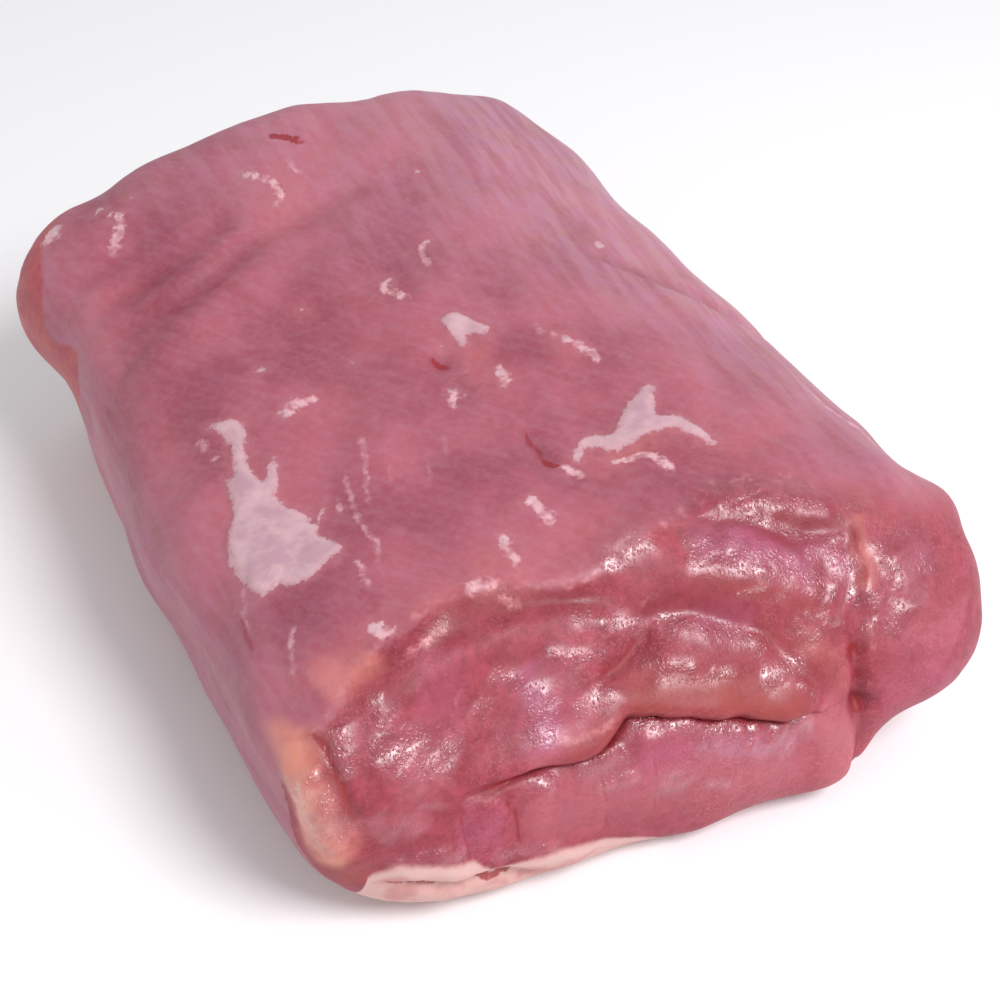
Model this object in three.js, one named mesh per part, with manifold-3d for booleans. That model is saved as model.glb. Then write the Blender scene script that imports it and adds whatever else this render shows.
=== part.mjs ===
// A boneless raw pork loin, lying on its fat side. Millimetres, +Z up.
// The grain runs along Y. The folded cut end faces -Y and the plain cut end faces +Y.
// The underside rests on Z = 0.
import * as THREE from "three";
import { mergeVertices } from "three/addons/utils/BufferGeometryUtils.js";
import Module from "manifold-3d";

// ---- Driving sizes -------------------------------------------------------------------------------
// Each size of the cross-section is given at the folded end, at the plain end, and as what the middle adds
// to their mean.
const LENGTH = 186;
const LEFT_HALF = { folded: 70, plain: 71, middle: -2 };
const RIGHT_HALF = { folded: 78, plain: 65, middle: 0 };
const HEIGHT = { folded: 58, plain: 74.5, middle: -6 };
const WIDEST_AT = { folded: 32, plain: 30, middle: 0 }; // the height at which a cross-section is widest

// How square each quarter of the cross-section is: 2 is round, and more is squarer.
const SQUARE_TOP_LEFT = 4.0;
const SQUARE_TOP_RIGHT = 2.9;
const SQUARE_LOW_LEFT = 3.4;
const SQUARE_LOW_RIGHT = 2.6;
// How crisp the turn from the long sides to the cut ends is.
const CRISP_LEFT = 10.5;
const CRISP_RIGHT = 6.5;

const TOP_RISE = 0.065; // the top's rise towards the right, as a share of its height
const BOW = -2; // how far the middle bends to the right
const SIDE_LEAN = -0.04; // how far the sides lean to the right, for each millimetre of height
const LEAN_FROM = 30;

// The cut ends aren't square to the grain: they turn in plan (skew) and lean back with height (lean).
const FOLDED_END = { skew: -0.095, lean: 0.1 };
const PLAIN_END = { skew: 0.027, lean: 0.02 };
const END_LEAN_FROM = 25;
// The top rim of the folded end lies back from its foot.
const RIM_BACK_MIDDLE = 20.5;
const RIM_BACK_LEFT = 0.5;
const RIM_BACK_RIGHT = 15;
const PLAIN_LEFT_PULLED_IN = 1.5;

const SETTLED = 1.6; // how far the meat has sunk flat on what it lies on

// The grid that the skin is made on, and how far leaving out triangles that it doesn't need may move it.
const ACROSS_CELLS = 130;
const LENGTH_CELLS = 120;
const HEIGHT_CELLS = 64;
const SIMPLIFIED_WITHIN = 0.25;

// The folds of the cut end are drawn on a plane that leans back as that end does: x across, and t up it.
const DRAWING_LEAN = THREE.MathUtils.degToRad(35);
const DRAWING_FOOT_Y = -90;
const FOLDED_END_STARTS_Y = -20;

// The deep slit between the upper lip and the flap. It is cut square to the drawing plane, between two
// distances in front of it. The face stands about 15 in front of it there.
const SLIT_GAPE = 1.5;
const SLIT_INNER_END = 7;
const SLIT_OUTER_END = 28;
const SLIT_STEPS = 14;

// ---- Small helpers -------------------------------------------------------------------------------
const bell = (distance, width) => Math.exp(-((distance / width) ** 2));
const smoothstep = (value, low, high) => THREE.MathUtils.smoothstep(value, low, high);
const along = (size, share, middle) =>
  size.folded * (1 - share) + size.plain * share + size.middle * middle;

// Steps from -1 to 1, closer together near one place.
function gradedSteps(cells, { extra, near, spread }) {
  const samples = 2000;
  const sum = [0];
  for (let i = 1; i <= samples; i += 1) {
    const at = (2 * (i - 0.5)) / samples - 1;
    sum.push(sum[i - 1] + 1 + extra * bell(at - near, spread));
  }
  const steps = [];
  for (let cell = 0, i = 0; cell <= cells; cell += 1) {
    const wanted = (sum[samples] * cell) / cells;
    while (i < samples - 1 && sum[i + 1] < wanted) i += 1;
    steps.push((2 * (i + (wanted - sum[i]) / (sum[i + 1] - sum[i]))) / samples - 1);
  }
  return steps;
}

// ---- The plain body of the meat ------------------------------------------------------------------
// A point of the cube from -1 to 1 becomes a point of the body. The cross-section is a superellipse whose
// four quarters differ, and the ends are rounded in the same way.
function bodyPoint(a, b, c) {
  const top = a >= 0 ? SQUARE_TOP_RIGHT : SQUARE_TOP_LEFT;
  const low = a >= 0 ? SQUARE_LOW_RIGHT : SQUARE_LOW_LEFT;
  const square = c >= 0 ? top : low;
  const ring = Math.max((Math.abs(a) ** square + Math.abs(c) ** square) ** (1 / square), 1e-9);
  const rightness = smoothstep(a / ring, -1, 1);
  const crisp = CRISP_LEFT * (1 - rightness) + CRISP_RIGHT * rightness;
  const shrink = (ring ** crisp + Math.abs(b) ** crisp) ** (1 / crisp);
  const [u, v, w] = [a / shrink, b / shrink, c / shrink];

  const share = (v + 1) / 2;
  const middle = 1 - v * v;
  const half = along(u > 0 ? RIGHT_HALF : LEFT_HALF, share, middle);
  const widest = along(WIDEST_AT, share, middle);
  const height = along(HEIGHT, share, middle);

  const level = w > 0 ? widest + (height - widest) * w : widest * (1 + w);
  const z = level * (1 + TOP_RISE * u);
  const x = half * u + SIDE_LEAN * (z - LEAN_FROM) + BOW * middle;

  const left = THREE.MathUtils.clamp(-u, 0, 1) ** 2;
  const right = THREE.MathUtils.clamp(u, 0, 1) ** 2;
  const rimBack =
    RIM_BACK_MIDDLE + (RIM_BACK_LEFT - RIM_BACK_MIDDLE) * left + (RIM_BACK_RIGHT - RIM_BACK_MIDDLE) * right;
  const turn = (end) => end.skew * x + end.lean * (z - END_LEAN_FROM);
  const y =
    (v * LENGTH) / 2 +
    (1 - share) * turn(FOLDED_END) +
    share * (turn(PLAIN_END) - PLAIN_LEFT_PULLED_IN * left) +
    (1 - share) ** 1.5 * rimBack * smoothstep(w, -0.3, 1);
  return new THREE.Vector3(x, y, z);
}

// ---- Swells and hollows --------------------------------------------------------------------------
// Each one pushes the skin out (or in, where less than 0) round a point [x, y, z].
const SWELLS = [
  { what: "right lobe", at: [62, -80, 32], radius: 17, out: 3.4 },
  { what: "upper lip", at: [8, -88, 38], radius: 13, out: 2.2 },
  { what: "toe of the flap", at: [36, -98, 7], radius: 8, out: 4.4 },
  { what: "hollow under the flap", at: [-24, -94, 2], radius: 16, out: -1.6 },
  { what: "notch beside the flap", at: [55, -90, 2], radius: 15, out: -9.8 },
  { what: "ear on the right edge", at: [73, -69, 44], radius: 6, out: 2.6 },
  { what: "gap behind the ear", at: [70, -55, 50], radius: 7, out: -1.6 },
  { what: "right flank", at: [68, -12, 50], radius: 34, out: 1.1 },
  { what: "left flank", at: [-72, -8, 36], radius: 28, out: 2.0 },
  { what: "left foot of the folded end", at: [-66, -84, 8], radius: 16, out: 0.4 },
  { what: "bare lobe at the back left", at: [-70, 78, 46], radius: 17, out: 5.2 },
  { what: "waist before that lobe", at: [-72, 64, 18], radius: 15, out: -5.0 },
  { what: "crown of the plain end", at: [-6, 90, 66], radius: 20, out: 1.6 },
  { what: "left corner of the plain end", at: [-50, 86, 62], radius: 12, out: -2.2 },
  { what: "right corner of the plain end", at: [48, 60, 60], radius: 26, out: 1.5 },
  { what: "soft hollow along the top", at: [-18, 14, 58], radius: 16, out: -0.8 },
];
// Meat is never quite even: long low waves run over all of it. A wave's x, y and z are its lengths that way.
const WAVES = [
  { x: 52, y: 71, z: 63, phase: 0.4, out: 0.38 },
  { x: -31, y: 44, z: 38, phase: 2.1, out: 0.28 },
  { x: 23, y: -29, z: 27, phase: 4.0, out: 0.22 },
];

// ---- Folds and seams -----------------------------------------------------------------------------
// Lines along which the skin rises (or sinks, where less than 0): what each is, its width, how far it stands
// out, and its points. Those of the folded end are [x, t] on its drawing plane, those of the top are [x, y],
// and those of the plain end are [x, z].
const fold = (what, width, out, ...points) => ({ what, width, out, points });
const FOLDED_END_LINES = [
  fold("rolled rim", 3.6, 0.9, [-46, 56], [-33, 61], [-22, 62], [-11, 59.5], [6, 61], [18, 63]),
  fold("step under the rim", 2.6, -1.1, [-42, 52], [-34, 56], [-20, 57.5], [-13, 55.5], [3, 53]),
  fold("edge of the shelf", 4, 0.4, [-38, 49.5], [-31, 52], [-24, 53], [-16, 52], [0, 48]),
  fold("top fold", 3.8, 1.4, [17, 65], [24, 64], [32, 61.5], [40, 58], [47, 53.5]),
  fold("groove under it", 2.2, -1, [17, 61.5], [25, 58.8], [32, 55.8], [38, 53], [45, 51]),
  fold("second fold", 4.5, 1.3, [4, 54], [13, 53], [21, 49.5], [28, 45.5], [34, 41.5], [38, 38]),
  fold("crease round the lip", 1.8, -0.9, [-2, 48], [11, 45.5], [18, 41], [25, 34], [30.5, 25], [36, 18]),
  fold("ridge inside that crease", 4.2, 1, [-2, 42], [9, 39.5], [15, 35.5], [21, 29], [26, 22]),
  fold("crease at the lip's end", 1.6, -1, [2, 46], [-2, 43], [-6, 41], [-11, 40.5]),
  fold("strand by the corner", 2, 0.6, [51, 55], [49, 52], [47, 47], [44.5, 41], [43, 36]),
  fold("corner seam above", 1.8, -0.7, [46, 53], [44.2, 47], [42, 41], [40.5, 35], [39, 28]),
  fold("corner seam below", 1.6, -1.7, [39.5, 32], [38.6, 24], [38.2, 14], [38, 4]),
  fold("tail of the lip", 1.4, -1, [-24, 29], [-33, 28.5], [-43, 27]),
  fold("flap's upper edge", 2.4, 1.2, [-36, 24], [-20, 24], [-8, 27.5], [3, 26], [12, 22.5], [33, 15]),
  fold("swell of the eye", 5, 1.5, [-57, 37], [-50, 35], [-44, 32], [-38, 30]),
  fold("lobe's shoulder", 5, 1.2, [54, 47], [55.5, 40], [54, 31]),
  fold("left seam", 1.6, -1.2, [-63, 50], [-62, 43], [-61, 37], [-60, 31], [-58, 24]),
  fold("band left of that seam", 3, 1.2, [-67, 46], [-66, 38], [-64, 30], [-59, 20]),
  fold("edge of the fat", 2.8, 1.3, [-60, 18.5], [-48, 17.5], [-40, 13], [-23, 9], [-14, 7]),
  fold("slit in the fat", 1.4, -1.8, [-56, 16.5], [-48, 12.9], [-39, 11.2], [-33, 8], [-24, 5.7]),
  fold("joint in the flap", 1.3, -0.6, [-41.2, 25], [-40.7, 13.8]),
  fold("joint in the flap", 1.3, -0.7, [-34.5, 27], [-32.3, 22], [-31, 14]),
];
const TOP_LINES = [
  fold("rib furrow", 4.6, -1.3, [-68, 37.5], [-41, 42.7], [-24, 49.3], [-6, 54], [11, 54]),
  fold("rib furrow", 4.2, -1.1, [-67, 50], [-54, 49.4], [-39, 53.8], [-22.5, 60]),
  fold("rib furrow", 4, -0.8, [-67, 60.5], [-58, 59], [-45, 61.6]),
  fold("long crease", 2, -1.2, [36, 21], [47.5, 9], [55, 0], [68, -16]),
  fold("soft fold", 6, -0.9, [15, 56], [31, 44], [39, 31], [50, 13.5]),
  fold("knife nick", 1.8, -1.2, [2, -28], [0.6, -32], [-0.6, -36.5], [2, -41]),
  fold("end of the nick", 1.8, -0.5, [2, -41], [3.5, -47], [5.5, -50.5]),
  fold("crack at the plain end", 1.7, -2.2, [-10.8, 83], [-9.3, 78.5], [-5, 74.5]),
];
const PLAIN_END_LINES = [
  fold("seam round the eye of the loin", 3.5, -1.8, [28, 62], [38, 40], [30, 18], [6, 10]),
  fold("edge of the fat", 3.5, -1.4, [-60, 20], [-30, 12], [6, 10], [46, 14]),
];
// Small pits and bumps: those of the folded end are at [x, t], and those of the top at [x, y].
const FOLDED_END_SPOTS = [
  { at: [39.3, 29.5], width: 1.8, out: -1.7 },
  { at: [39, 24.5], width: 1.6, out: -1.2 },
  { at: [39, 19], width: 3.0, out: -2.8 },
  { at: [-66, 40], width: 2.6, out: 1.2 },
  { at: [-64.5, 34.5], width: 2.6, out: 1.3 },
  { at: [-62.5, 29], width: 2.6, out: 1.2 },
];
const TOP_SPOTS = [{ at: [-4.4, -0.5], width: 2.6, out: -1.8 }];

// The distance from a point to the nearest place of a line, and how far along the line that place is, as a
// share of its length.
function nearestOn(curve, x, y) {
  let best = Infinity;
  let share = 0;
  for (let i = 0; i < curve.length - 1; i += 1) {
    const [from, to] = [curve[i], curve[i + 1]];
    const [dx, dy] = [to.x - from.x, to.y - from.y];
    const part = THREE.MathUtils.clamp(((x - from.x) * dx + (y - from.y) * dy) / (dx * dx + dy * dy), 0, 1);
    const distance = Math.hypot(x - from.x - part * dx, y - from.y - part * dy);
    if (distance < best) {
      best = distance;
      share = (i + part) / (curve.length - 1);
    }
  }
  return { distance: best, share };
}

const LINE_STEPS = 24;
const smoothLine = (points) =>
  new THREE.SplineCurve(points.map(([x, y]) => new THREE.Vector2(x, y))).getSpacedPoints(LINE_STEPS);
const withCurves = (lines) => lines.map((line) => ({ ...line, curve: smoothLine(line.points) }));
const foldedEndLines = withCurves(FOLDED_END_LINES);
const topLines = withCurves(TOP_LINES);
const plainEndLines = withCurves(PLAIN_END_LINES);

const LINE_FADE = 0.18; // the share of a line's length over which it fades out at each end
function heightOfLines(lines, x, y) {
  return lines.reduce((sum, line) => {
    const { distance, share } = nearestOn(line.curve, x, y);
    const fade = smoothstep(share, 0, LINE_FADE) * smoothstep(1 - share, 0, LINE_FADE);
    return sum + line.out * bell(distance, line.width) * fade;
  }, 0);
}

const heightOfSpots = (spots, x, y) =>
  spots.reduce((sum, { at, width, out }) => sum + out * bell(Math.hypot(x - at[0], y - at[1]), width), 0);

// How far the skin stands out of the plain body at a point, whose skin faces the way of normal.
const DRAWING_FACES = new THREE.Vector3(0, -Math.cos(DRAWING_LEAN), Math.sin(DRAWING_LEAN));
function reliefAt(point, normal) {
  let out = 0;
  for (const { at, radius, out: push } of SWELLS) {
    out += push * bell(point.distanceTo(new THREE.Vector3(...at)), radius);
  }
  for (const wave of WAVES) {
    const turns = point.x / wave.x + point.y / wave.y + point.z / wave.z;
    out += wave.out * Math.sin(2 * Math.PI * turns + wave.phase);
  }
  if (point.y < FOLDED_END_STARTS_Y) {
    const t = point.z * Math.cos(DRAWING_LEAN) + (point.y - DRAWING_FOOT_Y) * Math.sin(DRAWING_LEAN);
    const folds = heightOfLines(foldedEndLines, point.x, t) + heightOfSpots(FOLDED_END_SPOTS, point.x, t);
    out += smoothstep(normal.dot(DRAWING_FACES), 0.2, 0.45) * folds;
  }
  const furrows = heightOfLines(topLines, point.x, point.y) + heightOfSpots(TOP_SPOTS, point.x, point.y);
  out += smoothstep(normal.z, 0.35, 0.6) * furrows;
  out += smoothstep(normal.y, 0.5, 0.8) * heightOfLines(plainEndLines, point.x, point.z);
  return out;
}

// ---- The skin: body, relief and the flat that it rests on ----------------------------------------
function makeSkin() {
  const box = new THREE.BoxGeometry(2, 2, 2, ACROSS_CELLS, LENGTH_CELLS, HEIGHT_CELLS);
  box.deleteAttribute("normal");
  box.deleteAttribute("uv");
  const skin = mergeVertices(box);
  const lengthSteps = gradedSteps(LENGTH_CELLS, { extra: 2.2, near: -1, spread: 0.35 });
  const heightSteps = gradedSteps(HEIGHT_CELLS, { extra: 0.6, near: 0.3, spread: 0.5 });
  const graded = (steps, value) => steps[Math.round(((value + 1) / 2) * (steps.length - 1))];

  const position = skin.attributes.position;
  for (let i = 0; i < position.count; i += 1) {
    const b = graded(lengthSteps, position.getY(i));
    const c = graded(heightSteps, position.getZ(i));
    position.setXYZ(i, ...bodyPoint(position.getX(i), b, c));
  }
  skin.computeVertexNormals();
  const normals = skin.attributes.normal;
  const point = new THREE.Vector3();
  const normal = new THREE.Vector3();
  for (let i = 0; i < position.count; i += 1) {
    point.fromBufferAttribute(position, i);
    normal.fromBufferAttribute(normals, i);
    point.addScaledVector(normal, reliefAt(point, normal));
    position.setXYZ(i, point.x, point.y, Math.max(point.z - SETTLED, 0));
  }
  skin.deleteAttribute("normal");
  return skin;
}

// ---- The deep slit between the upper lip and the flap --------------------------------------------
// Its line runs through these points [x, t].
const SLIT = [
  [-36, 28.2], [-25, 28.8], [-18, 27.6], [-13.6, 28.1], [-7, 32.4],
  [2, 29.6], [11, 26.2], [20, 23.4], [31, 19.4],
];

// A lens along the slit's line, as a closed outline on the drawing plane.
function slitOutline() {
  const line = new THREE.SplineCurve(SLIT.map(([x, t]) => new THREE.Vector2(x, t)));
  const edge = (side) =>
    Array.from({ length: SLIT_STEPS + 1 }, (_, i) => {
      const share = i / SLIT_STEPS;
      const tangent = line.getTangentAt(share);
      const half = (side * SLIT_GAPE * Math.sin(Math.PI * share)) / 2;
      return line.getPointAt(share).add(new THREE.Vector2(-tangent.y, tangent.x).multiplyScalar(half));
    });
  return new THREE.Shape([...edge(-1), ...edge(1).reverse().slice(1, -1)]);
}

// Turned so that the outline lies on the drawing plane and the extrusion comes out of the meat.
function makeSlitCutter() {
  const cutter = new THREE.ExtrudeGeometry(slitOutline(), {
    depth: SLIT_OUTER_END - SLIT_INNER_END,
    bevelEnabled: false,
  });
  const across = new THREE.Vector3(1, 0, 0);
  const up = new THREE.Vector3(0, Math.sin(DRAWING_LEAN), Math.cos(DRAWING_LEAN));
  const foot = new THREE.Vector3(0, DRAWING_FOOT_Y, -SETTLED);
  const start = foot.addScaledVector(DRAWING_FACES, SLIT_INNER_END);
  return cutter.applyMatrix4(new THREE.Matrix4().makeBasis(across, up, DRAWING_FACES).setPosition(start));
}

// ---- Carving -------------------------------------------------------------------------------------
function solidOf(wasm, geometry) {
  const bare = geometry.clone();
  bare.deleteAttribute("normal");
  bare.deleteAttribute("uv");
  const merged = mergeVertices(bare);
  const vertProperties = new Float32Array(merged.attributes.position.array);
  const triVerts = new Uint32Array(merged.index.array);
  return new wasm.Manifold(new wasm.Mesh({ numProp: 3, vertProperties, triVerts }));
}

function geometryOf(solid) {
  const { vertProperties, triVerts } = solid.getMesh();
  const geometry = new THREE.BufferGeometry();
  geometry.setAttribute("position", new THREE.BufferAttribute(vertProperties, 3));
  geometry.setIndex(new THREE.BufferAttribute(triVerts, 1));
  return geometry;
}

async function makeLoin() {
  const wasm = await Module();
  wasm.setup();
  const carved = solidOf(wasm, makeSkin()).subtract(solidOf(wasm, makeSlitCutter()));
  // Leaving out triangles leaves the underside uneven by as much, so it is cut level again.
  const levelled = carved.simplify(SIMPLIFIED_WITHIN).trimByPlane([0, 0, 1], SIMPLIFIED_WITHIN);
  const geometry = geometryOf(levelled);
  geometry.computeBoundingBox();
  const { min, max } = geometry.boundingBox;
  geometry.translate(-(min.x + max.x) / 2, -(min.y + max.y) / 2, -min.z);
  geometry.computeVertexNormals();

  const flesh = new THREE.MeshStandardMaterial({ color: "#b9606f", roughness: 0.42, metalness: 0 });
  const loin = new THREE.Mesh(geometry, flesh);
  loin.name = "pork_loin";
  return loin;
}

const part = new THREE.Group();
part.add(await makeLoin());
export default part;
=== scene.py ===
# %% [markdown]
# # A raw pork loin
#
# The real thing is a boneless piece of pork loin, about 15 cm across, 19 cm long and 7 cm high, lying on
# its fat side. Three kinds of surface meet on it: a thin silver skin over rosy lean meat on the top and
# sides, a wet and deeply folded cut end that faces the camera, and a cream layer of fat underneath.
#
# A sculptor would shape this by hand. Here the meat is worked out from named sizes instead: a rounded
# block, then swells, then folds drawn along curves, and last the fine unevenness. Each step can be read
# and changed by itself, and the result is the same at every run.

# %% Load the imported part
import math

import bpy
import numpy as np
from mathutils import Matrix, Vector


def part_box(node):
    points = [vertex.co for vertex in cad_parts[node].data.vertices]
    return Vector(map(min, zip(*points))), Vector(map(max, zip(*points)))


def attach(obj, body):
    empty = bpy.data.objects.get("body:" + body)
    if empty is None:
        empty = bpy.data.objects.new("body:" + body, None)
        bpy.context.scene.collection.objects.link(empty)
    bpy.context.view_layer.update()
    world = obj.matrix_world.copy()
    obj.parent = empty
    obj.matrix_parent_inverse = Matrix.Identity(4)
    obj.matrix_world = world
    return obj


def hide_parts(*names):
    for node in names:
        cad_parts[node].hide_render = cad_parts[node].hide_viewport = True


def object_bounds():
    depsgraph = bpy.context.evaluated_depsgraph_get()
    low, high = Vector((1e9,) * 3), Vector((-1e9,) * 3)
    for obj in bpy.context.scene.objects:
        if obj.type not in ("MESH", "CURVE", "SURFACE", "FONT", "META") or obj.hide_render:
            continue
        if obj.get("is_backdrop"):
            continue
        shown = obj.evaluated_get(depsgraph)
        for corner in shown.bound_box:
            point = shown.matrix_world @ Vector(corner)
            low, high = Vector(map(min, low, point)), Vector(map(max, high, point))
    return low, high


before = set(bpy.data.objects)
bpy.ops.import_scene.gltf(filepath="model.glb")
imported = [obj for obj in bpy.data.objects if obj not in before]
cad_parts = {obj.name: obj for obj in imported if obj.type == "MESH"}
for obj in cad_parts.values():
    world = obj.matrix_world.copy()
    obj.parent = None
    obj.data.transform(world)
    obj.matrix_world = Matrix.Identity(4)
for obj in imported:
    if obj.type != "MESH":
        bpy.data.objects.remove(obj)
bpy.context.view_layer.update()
LOIN_LOW, LOIN_HIGH = (np.array(corner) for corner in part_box("pork_loin"))
print("the loin measures, in mm:", np.round((LOIN_HIGH - LOIN_LOW) * 1000, 1))

# %% [markdown]
# ## The camera
#
# The photograph looks down on the meat from its folded end and a little from its left. The camera's
# height, turn and lens were found by laying the block's outline over the photograph's. A camera is aimed
# most simply by building its three axes from two angles, as a photographer would say them: how far round,
# and how far up.

# %% Camera
def direction(azimuth, elevation):
    """The unit vector towards a place this far round and this far up."""
    flat = math.cos(elevation)
    return Vector((math.sin(azimuth) * flat, -math.cos(azimuth) * flat, math.sin(elevation)))


def add(name, data):
    """A new object in the scene."""
    made = bpy.data.objects.new(name, data)
    bpy.context.scene.collection.objects.link(made)
    return made


AZIMUTH = math.radians(-26.18)
ELEVATION = math.radians(41.36)
CAMERA_DISTANCE = 0.3779
LOOKS_AT = Vector((0.00003, -0.01624, 0.0298))
LENS_MM, SENSOR_MM = 65.05, 36
NEAREST_SEEN = 0.01

right = Vector((math.cos(AZIMUTH), math.sin(AZIMUTH), 0))
back = direction(AZIMUTH, ELEVATION)
camera_data = bpy.data.cameras.new("photo_camera")
camera_data.lens = LENS_MM
camera_data.sensor_width = SENSOR_MM
camera_data.clip_start = NEAREST_SEEN
camera = add("photo_camera", camera_data)
camera.matrix_world = Matrix((right, back.cross(right), back)).transposed().to_4x4()
camera.location = LOOKS_AT + back * CAMERA_DISTANCE
bpy.context.scene.camera = camera
print("camera stands at", np.round(camera.location, 3))

# %% [markdown]
# ## Sizes of the block
#
# All shaping is done in millimetres, in the frame that the meat was measured in: x to the right, y back
# along the grain, z up. Each size of the cross-section is given at the folded end, at the plain end, and
# as what the middle adds to their mean. The numbers are the part's own driving sizes, so the two shapes
# agree.

# %% Named sizes
MM = 0.001
LENGTH = 186
LEFT_HALF = (70, 71, -2)
RIGHT_HALF = (78, 65, 0)
HEIGHT = (58, 74.5, -6)
WIDEST_AT = (32, 30, 0)
SQUARE_TOP_LEFT, SQUARE_TOP_RIGHT = 4.0, 2.9
SQUARE_LOW_LEFT, SQUARE_LOW_RIGHT = 3.4, 2.6
CRISP_LEFT, CRISP_RIGHT = 10.5, 6.5
TOP_RISE = 0.065
BOW = -2
SIDE_LEAN, LEAN_FROM = -0.04, 30
FOLDED_END_SKEW, FOLDED_END_LEAN = -0.095, 0.1
PLAIN_END_SKEW, PLAIN_END_LEAN = 0.027, 0.02
END_LEAN_FROM = 25
RIM_BACK_MIDDLE, RIM_BACK_LEFT, RIM_BACK_RIGHT = 20.5, 0.5, 15
PLAIN_LEFT_PULLED_IN = 1.5
SETTLED = 1.6

# The folds of the cut end are drawn on a plane that leans back as that end does: x across, and t up it.
DRAWING_LEAN = math.radians(35)
DRAWING_FOOT_Y = -90
DRAWING_FACES = np.array([0, -math.cos(DRAWING_LEAN), math.sin(DRAWING_LEAN)])
DOWN_THE_DRAWING = np.array([0, -math.sin(DRAWING_LEAN), -math.cos(DRAWING_LEAN)])


def smoothstep(value, low, high):
    t = np.clip((value - low) / (high - low), 0, 1)
    return t * t * (3 - 2 * t)


def bell(distance, width):
    return np.exp(-((distance / width) ** 2))


def along(size, share, middle):
    folded, plain, extra = size
    return folded * (1 - share) + plain * share + extra * middle


# %% [markdown]
# ## The skin's grid
#
# The skin is one closed sheet of four-sided faces, laid out like the outside of a box of small cells. A
# box grid wraps meat better than a sphere does, because it has no poles, and its rows can be packed
# closer where the folds are: round the slit of the folded end, and near its rim.

# %% Box grid
def graded_steps(cells, bumps):
    """Steps from -1 to 1, closer together near each (place, extra, spread)."""
    at = np.linspace(-1, 1, 4001)
    density = 1 + sum(extra * bell(at - place, spread) for place, extra, spread in bumps)
    total = np.concatenate([[0], np.cumsum((density[1:] + density[:-1]) / 2)])
    return np.interp(np.linspace(0, total[-1], cells + 1), total, at)


def box_grid(xs, ys, zs):
    """Points and four-sided faces of the outside of a box of cells, every point shared by its faces."""
    counts = (len(xs), len(ys), len(zs))
    number = np.full(counts, -1)
    i, j, k = np.meshgrid(*(np.arange(n) for n in counts), indexing="ij")
    outside = np.zeros(counts, bool)
    for index, n in zip((i, j, k), counts):
        outside |= (index == 0) | (index == n - 1)
    number[outside] = np.arange(outside.sum())
    points = np.stack([xs[i[outside]], ys[j[outside]], zs[k[outside]]], 1)

    faces = []
    for axis in range(3):
        for end in (0, counts[axis] - 1):
            side = np.take(number, end, axis)
            corners = [side[:-1, :-1], side[1:, :-1], side[1:, 1:], side[:-1, 1:]]
            quads = np.stack(corners, -1).reshape(-1, 4)
            turns_out = (end > 0) != (axis == 1)
            faces.append(quads if turns_out else quads[:, ::-1])
    return points, np.concatenate(faces)


CELLS_ACROSS, CELLS_LONG, CELLS_HIGH = 165, 125, 86
grid, faces = box_grid(
    graded_steps(CELLS_ACROSS, [(0.3, 0.5, 0.45)]),
    graded_steps(CELLS_LONG, [(-1, 2.0, 0.3), (0.1, 0.35, 0.5)]),
    graded_steps(CELLS_HIGH, [(0.0, 0.6, 0.3), (0.8, 0.5, 0.4)]),
)
print(len(grid), "points and", len(faces), "faces, which make", 2 * len(faces), "triangles")


# %% [markdown]
# ## The plain block
#
# Each point of the box is pulled in to a rounded block. A superellipse is the useful curve here: one
# number says how square a corner is, and each of the four corners of the cross-section gets its own.

# %% Block
def block(points):
    a, b, c = points.T
    top = np.where(a >= 0, SQUARE_TOP_RIGHT, SQUARE_TOP_LEFT)
    low = np.where(a >= 0, SQUARE_LOW_RIGHT, SQUARE_LOW_LEFT)
    square = np.where(c >= 0, top, low)
    ring = np.maximum((np.abs(a) ** square + np.abs(c) ** square) ** (1 / square), 1e-9)
    rightness = smoothstep(a / ring, -1, 1)
    crisp = CRISP_LEFT * (1 - rightness) + CRISP_RIGHT * rightness
    shrink = (ring**crisp + np.abs(b) ** crisp) ** (1 / crisp)
    u, v, w = a / shrink, b / shrink, c / shrink

    share = (v + 1) / 2
    middle = 1 - v * v
    half = np.where(u > 0, along(RIGHT_HALF, share, middle), along(LEFT_HALF, share, middle))
    widest = along(WIDEST_AT, share, middle)
    height = along(HEIGHT, share, middle)
    level = np.where(w > 0, widest + (height - widest) * w, widest * (1 + w))
    z = level * (1 + TOP_RISE * u)
    x = half * u + SIDE_LEAN * (z - LEAN_FROM) + BOW * middle

    left = np.clip(-u, 0, 1) ** 2
    rightward = np.clip(u, 0, 1) ** 2
    rim_back = (
        RIM_BACK_MIDDLE
        + (RIM_BACK_LEFT - RIM_BACK_MIDDLE) * left
        + (RIM_BACK_RIGHT - RIM_BACK_MIDDLE) * rightward
    )
    folded_turn = FOLDED_END_SKEW * x + FOLDED_END_LEAN * (z - END_LEAN_FROM)
    plain_turn = PLAIN_END_SKEW * x + PLAIN_END_LEAN * (z - END_LEAN_FROM) - PLAIN_LEFT_PULLED_IN * left
    y = (
        v * LENGTH / 2
        + (1 - share) * folded_turn
        + share * plain_turn
        + (1 - share) ** 1.5 * rim_back * smoothstep(w, -0.3, 1)
    )
    return np.stack([x, y, z], 1)


def normals_of(points, faces):
    across = np.cross(points[faces[:, 2]] - points[faces[:, 0]], points[faces[:, 3]] - points[faces[:, 1]])
    total = np.zeros_like(points)
    for corner in range(4):
        np.add.at(total, faces[:, corner], across)
    return total / np.linalg.norm(total, axis=1)[:, None]


P = block(grid)
N = normals_of(P, faces)
print("plain block, in mm:", np.round(P.max(0) - P.min(0), 1))

# %% [markdown]
# ## Swells and long waves
#
# A muscle bulges where it is thick and sinks where two muscles meet. Each swell is a soft bell shape that
# pushes the skin out, or in, round one point. Long low waves over all of it keep any stretch from looking
# machined.

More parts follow.
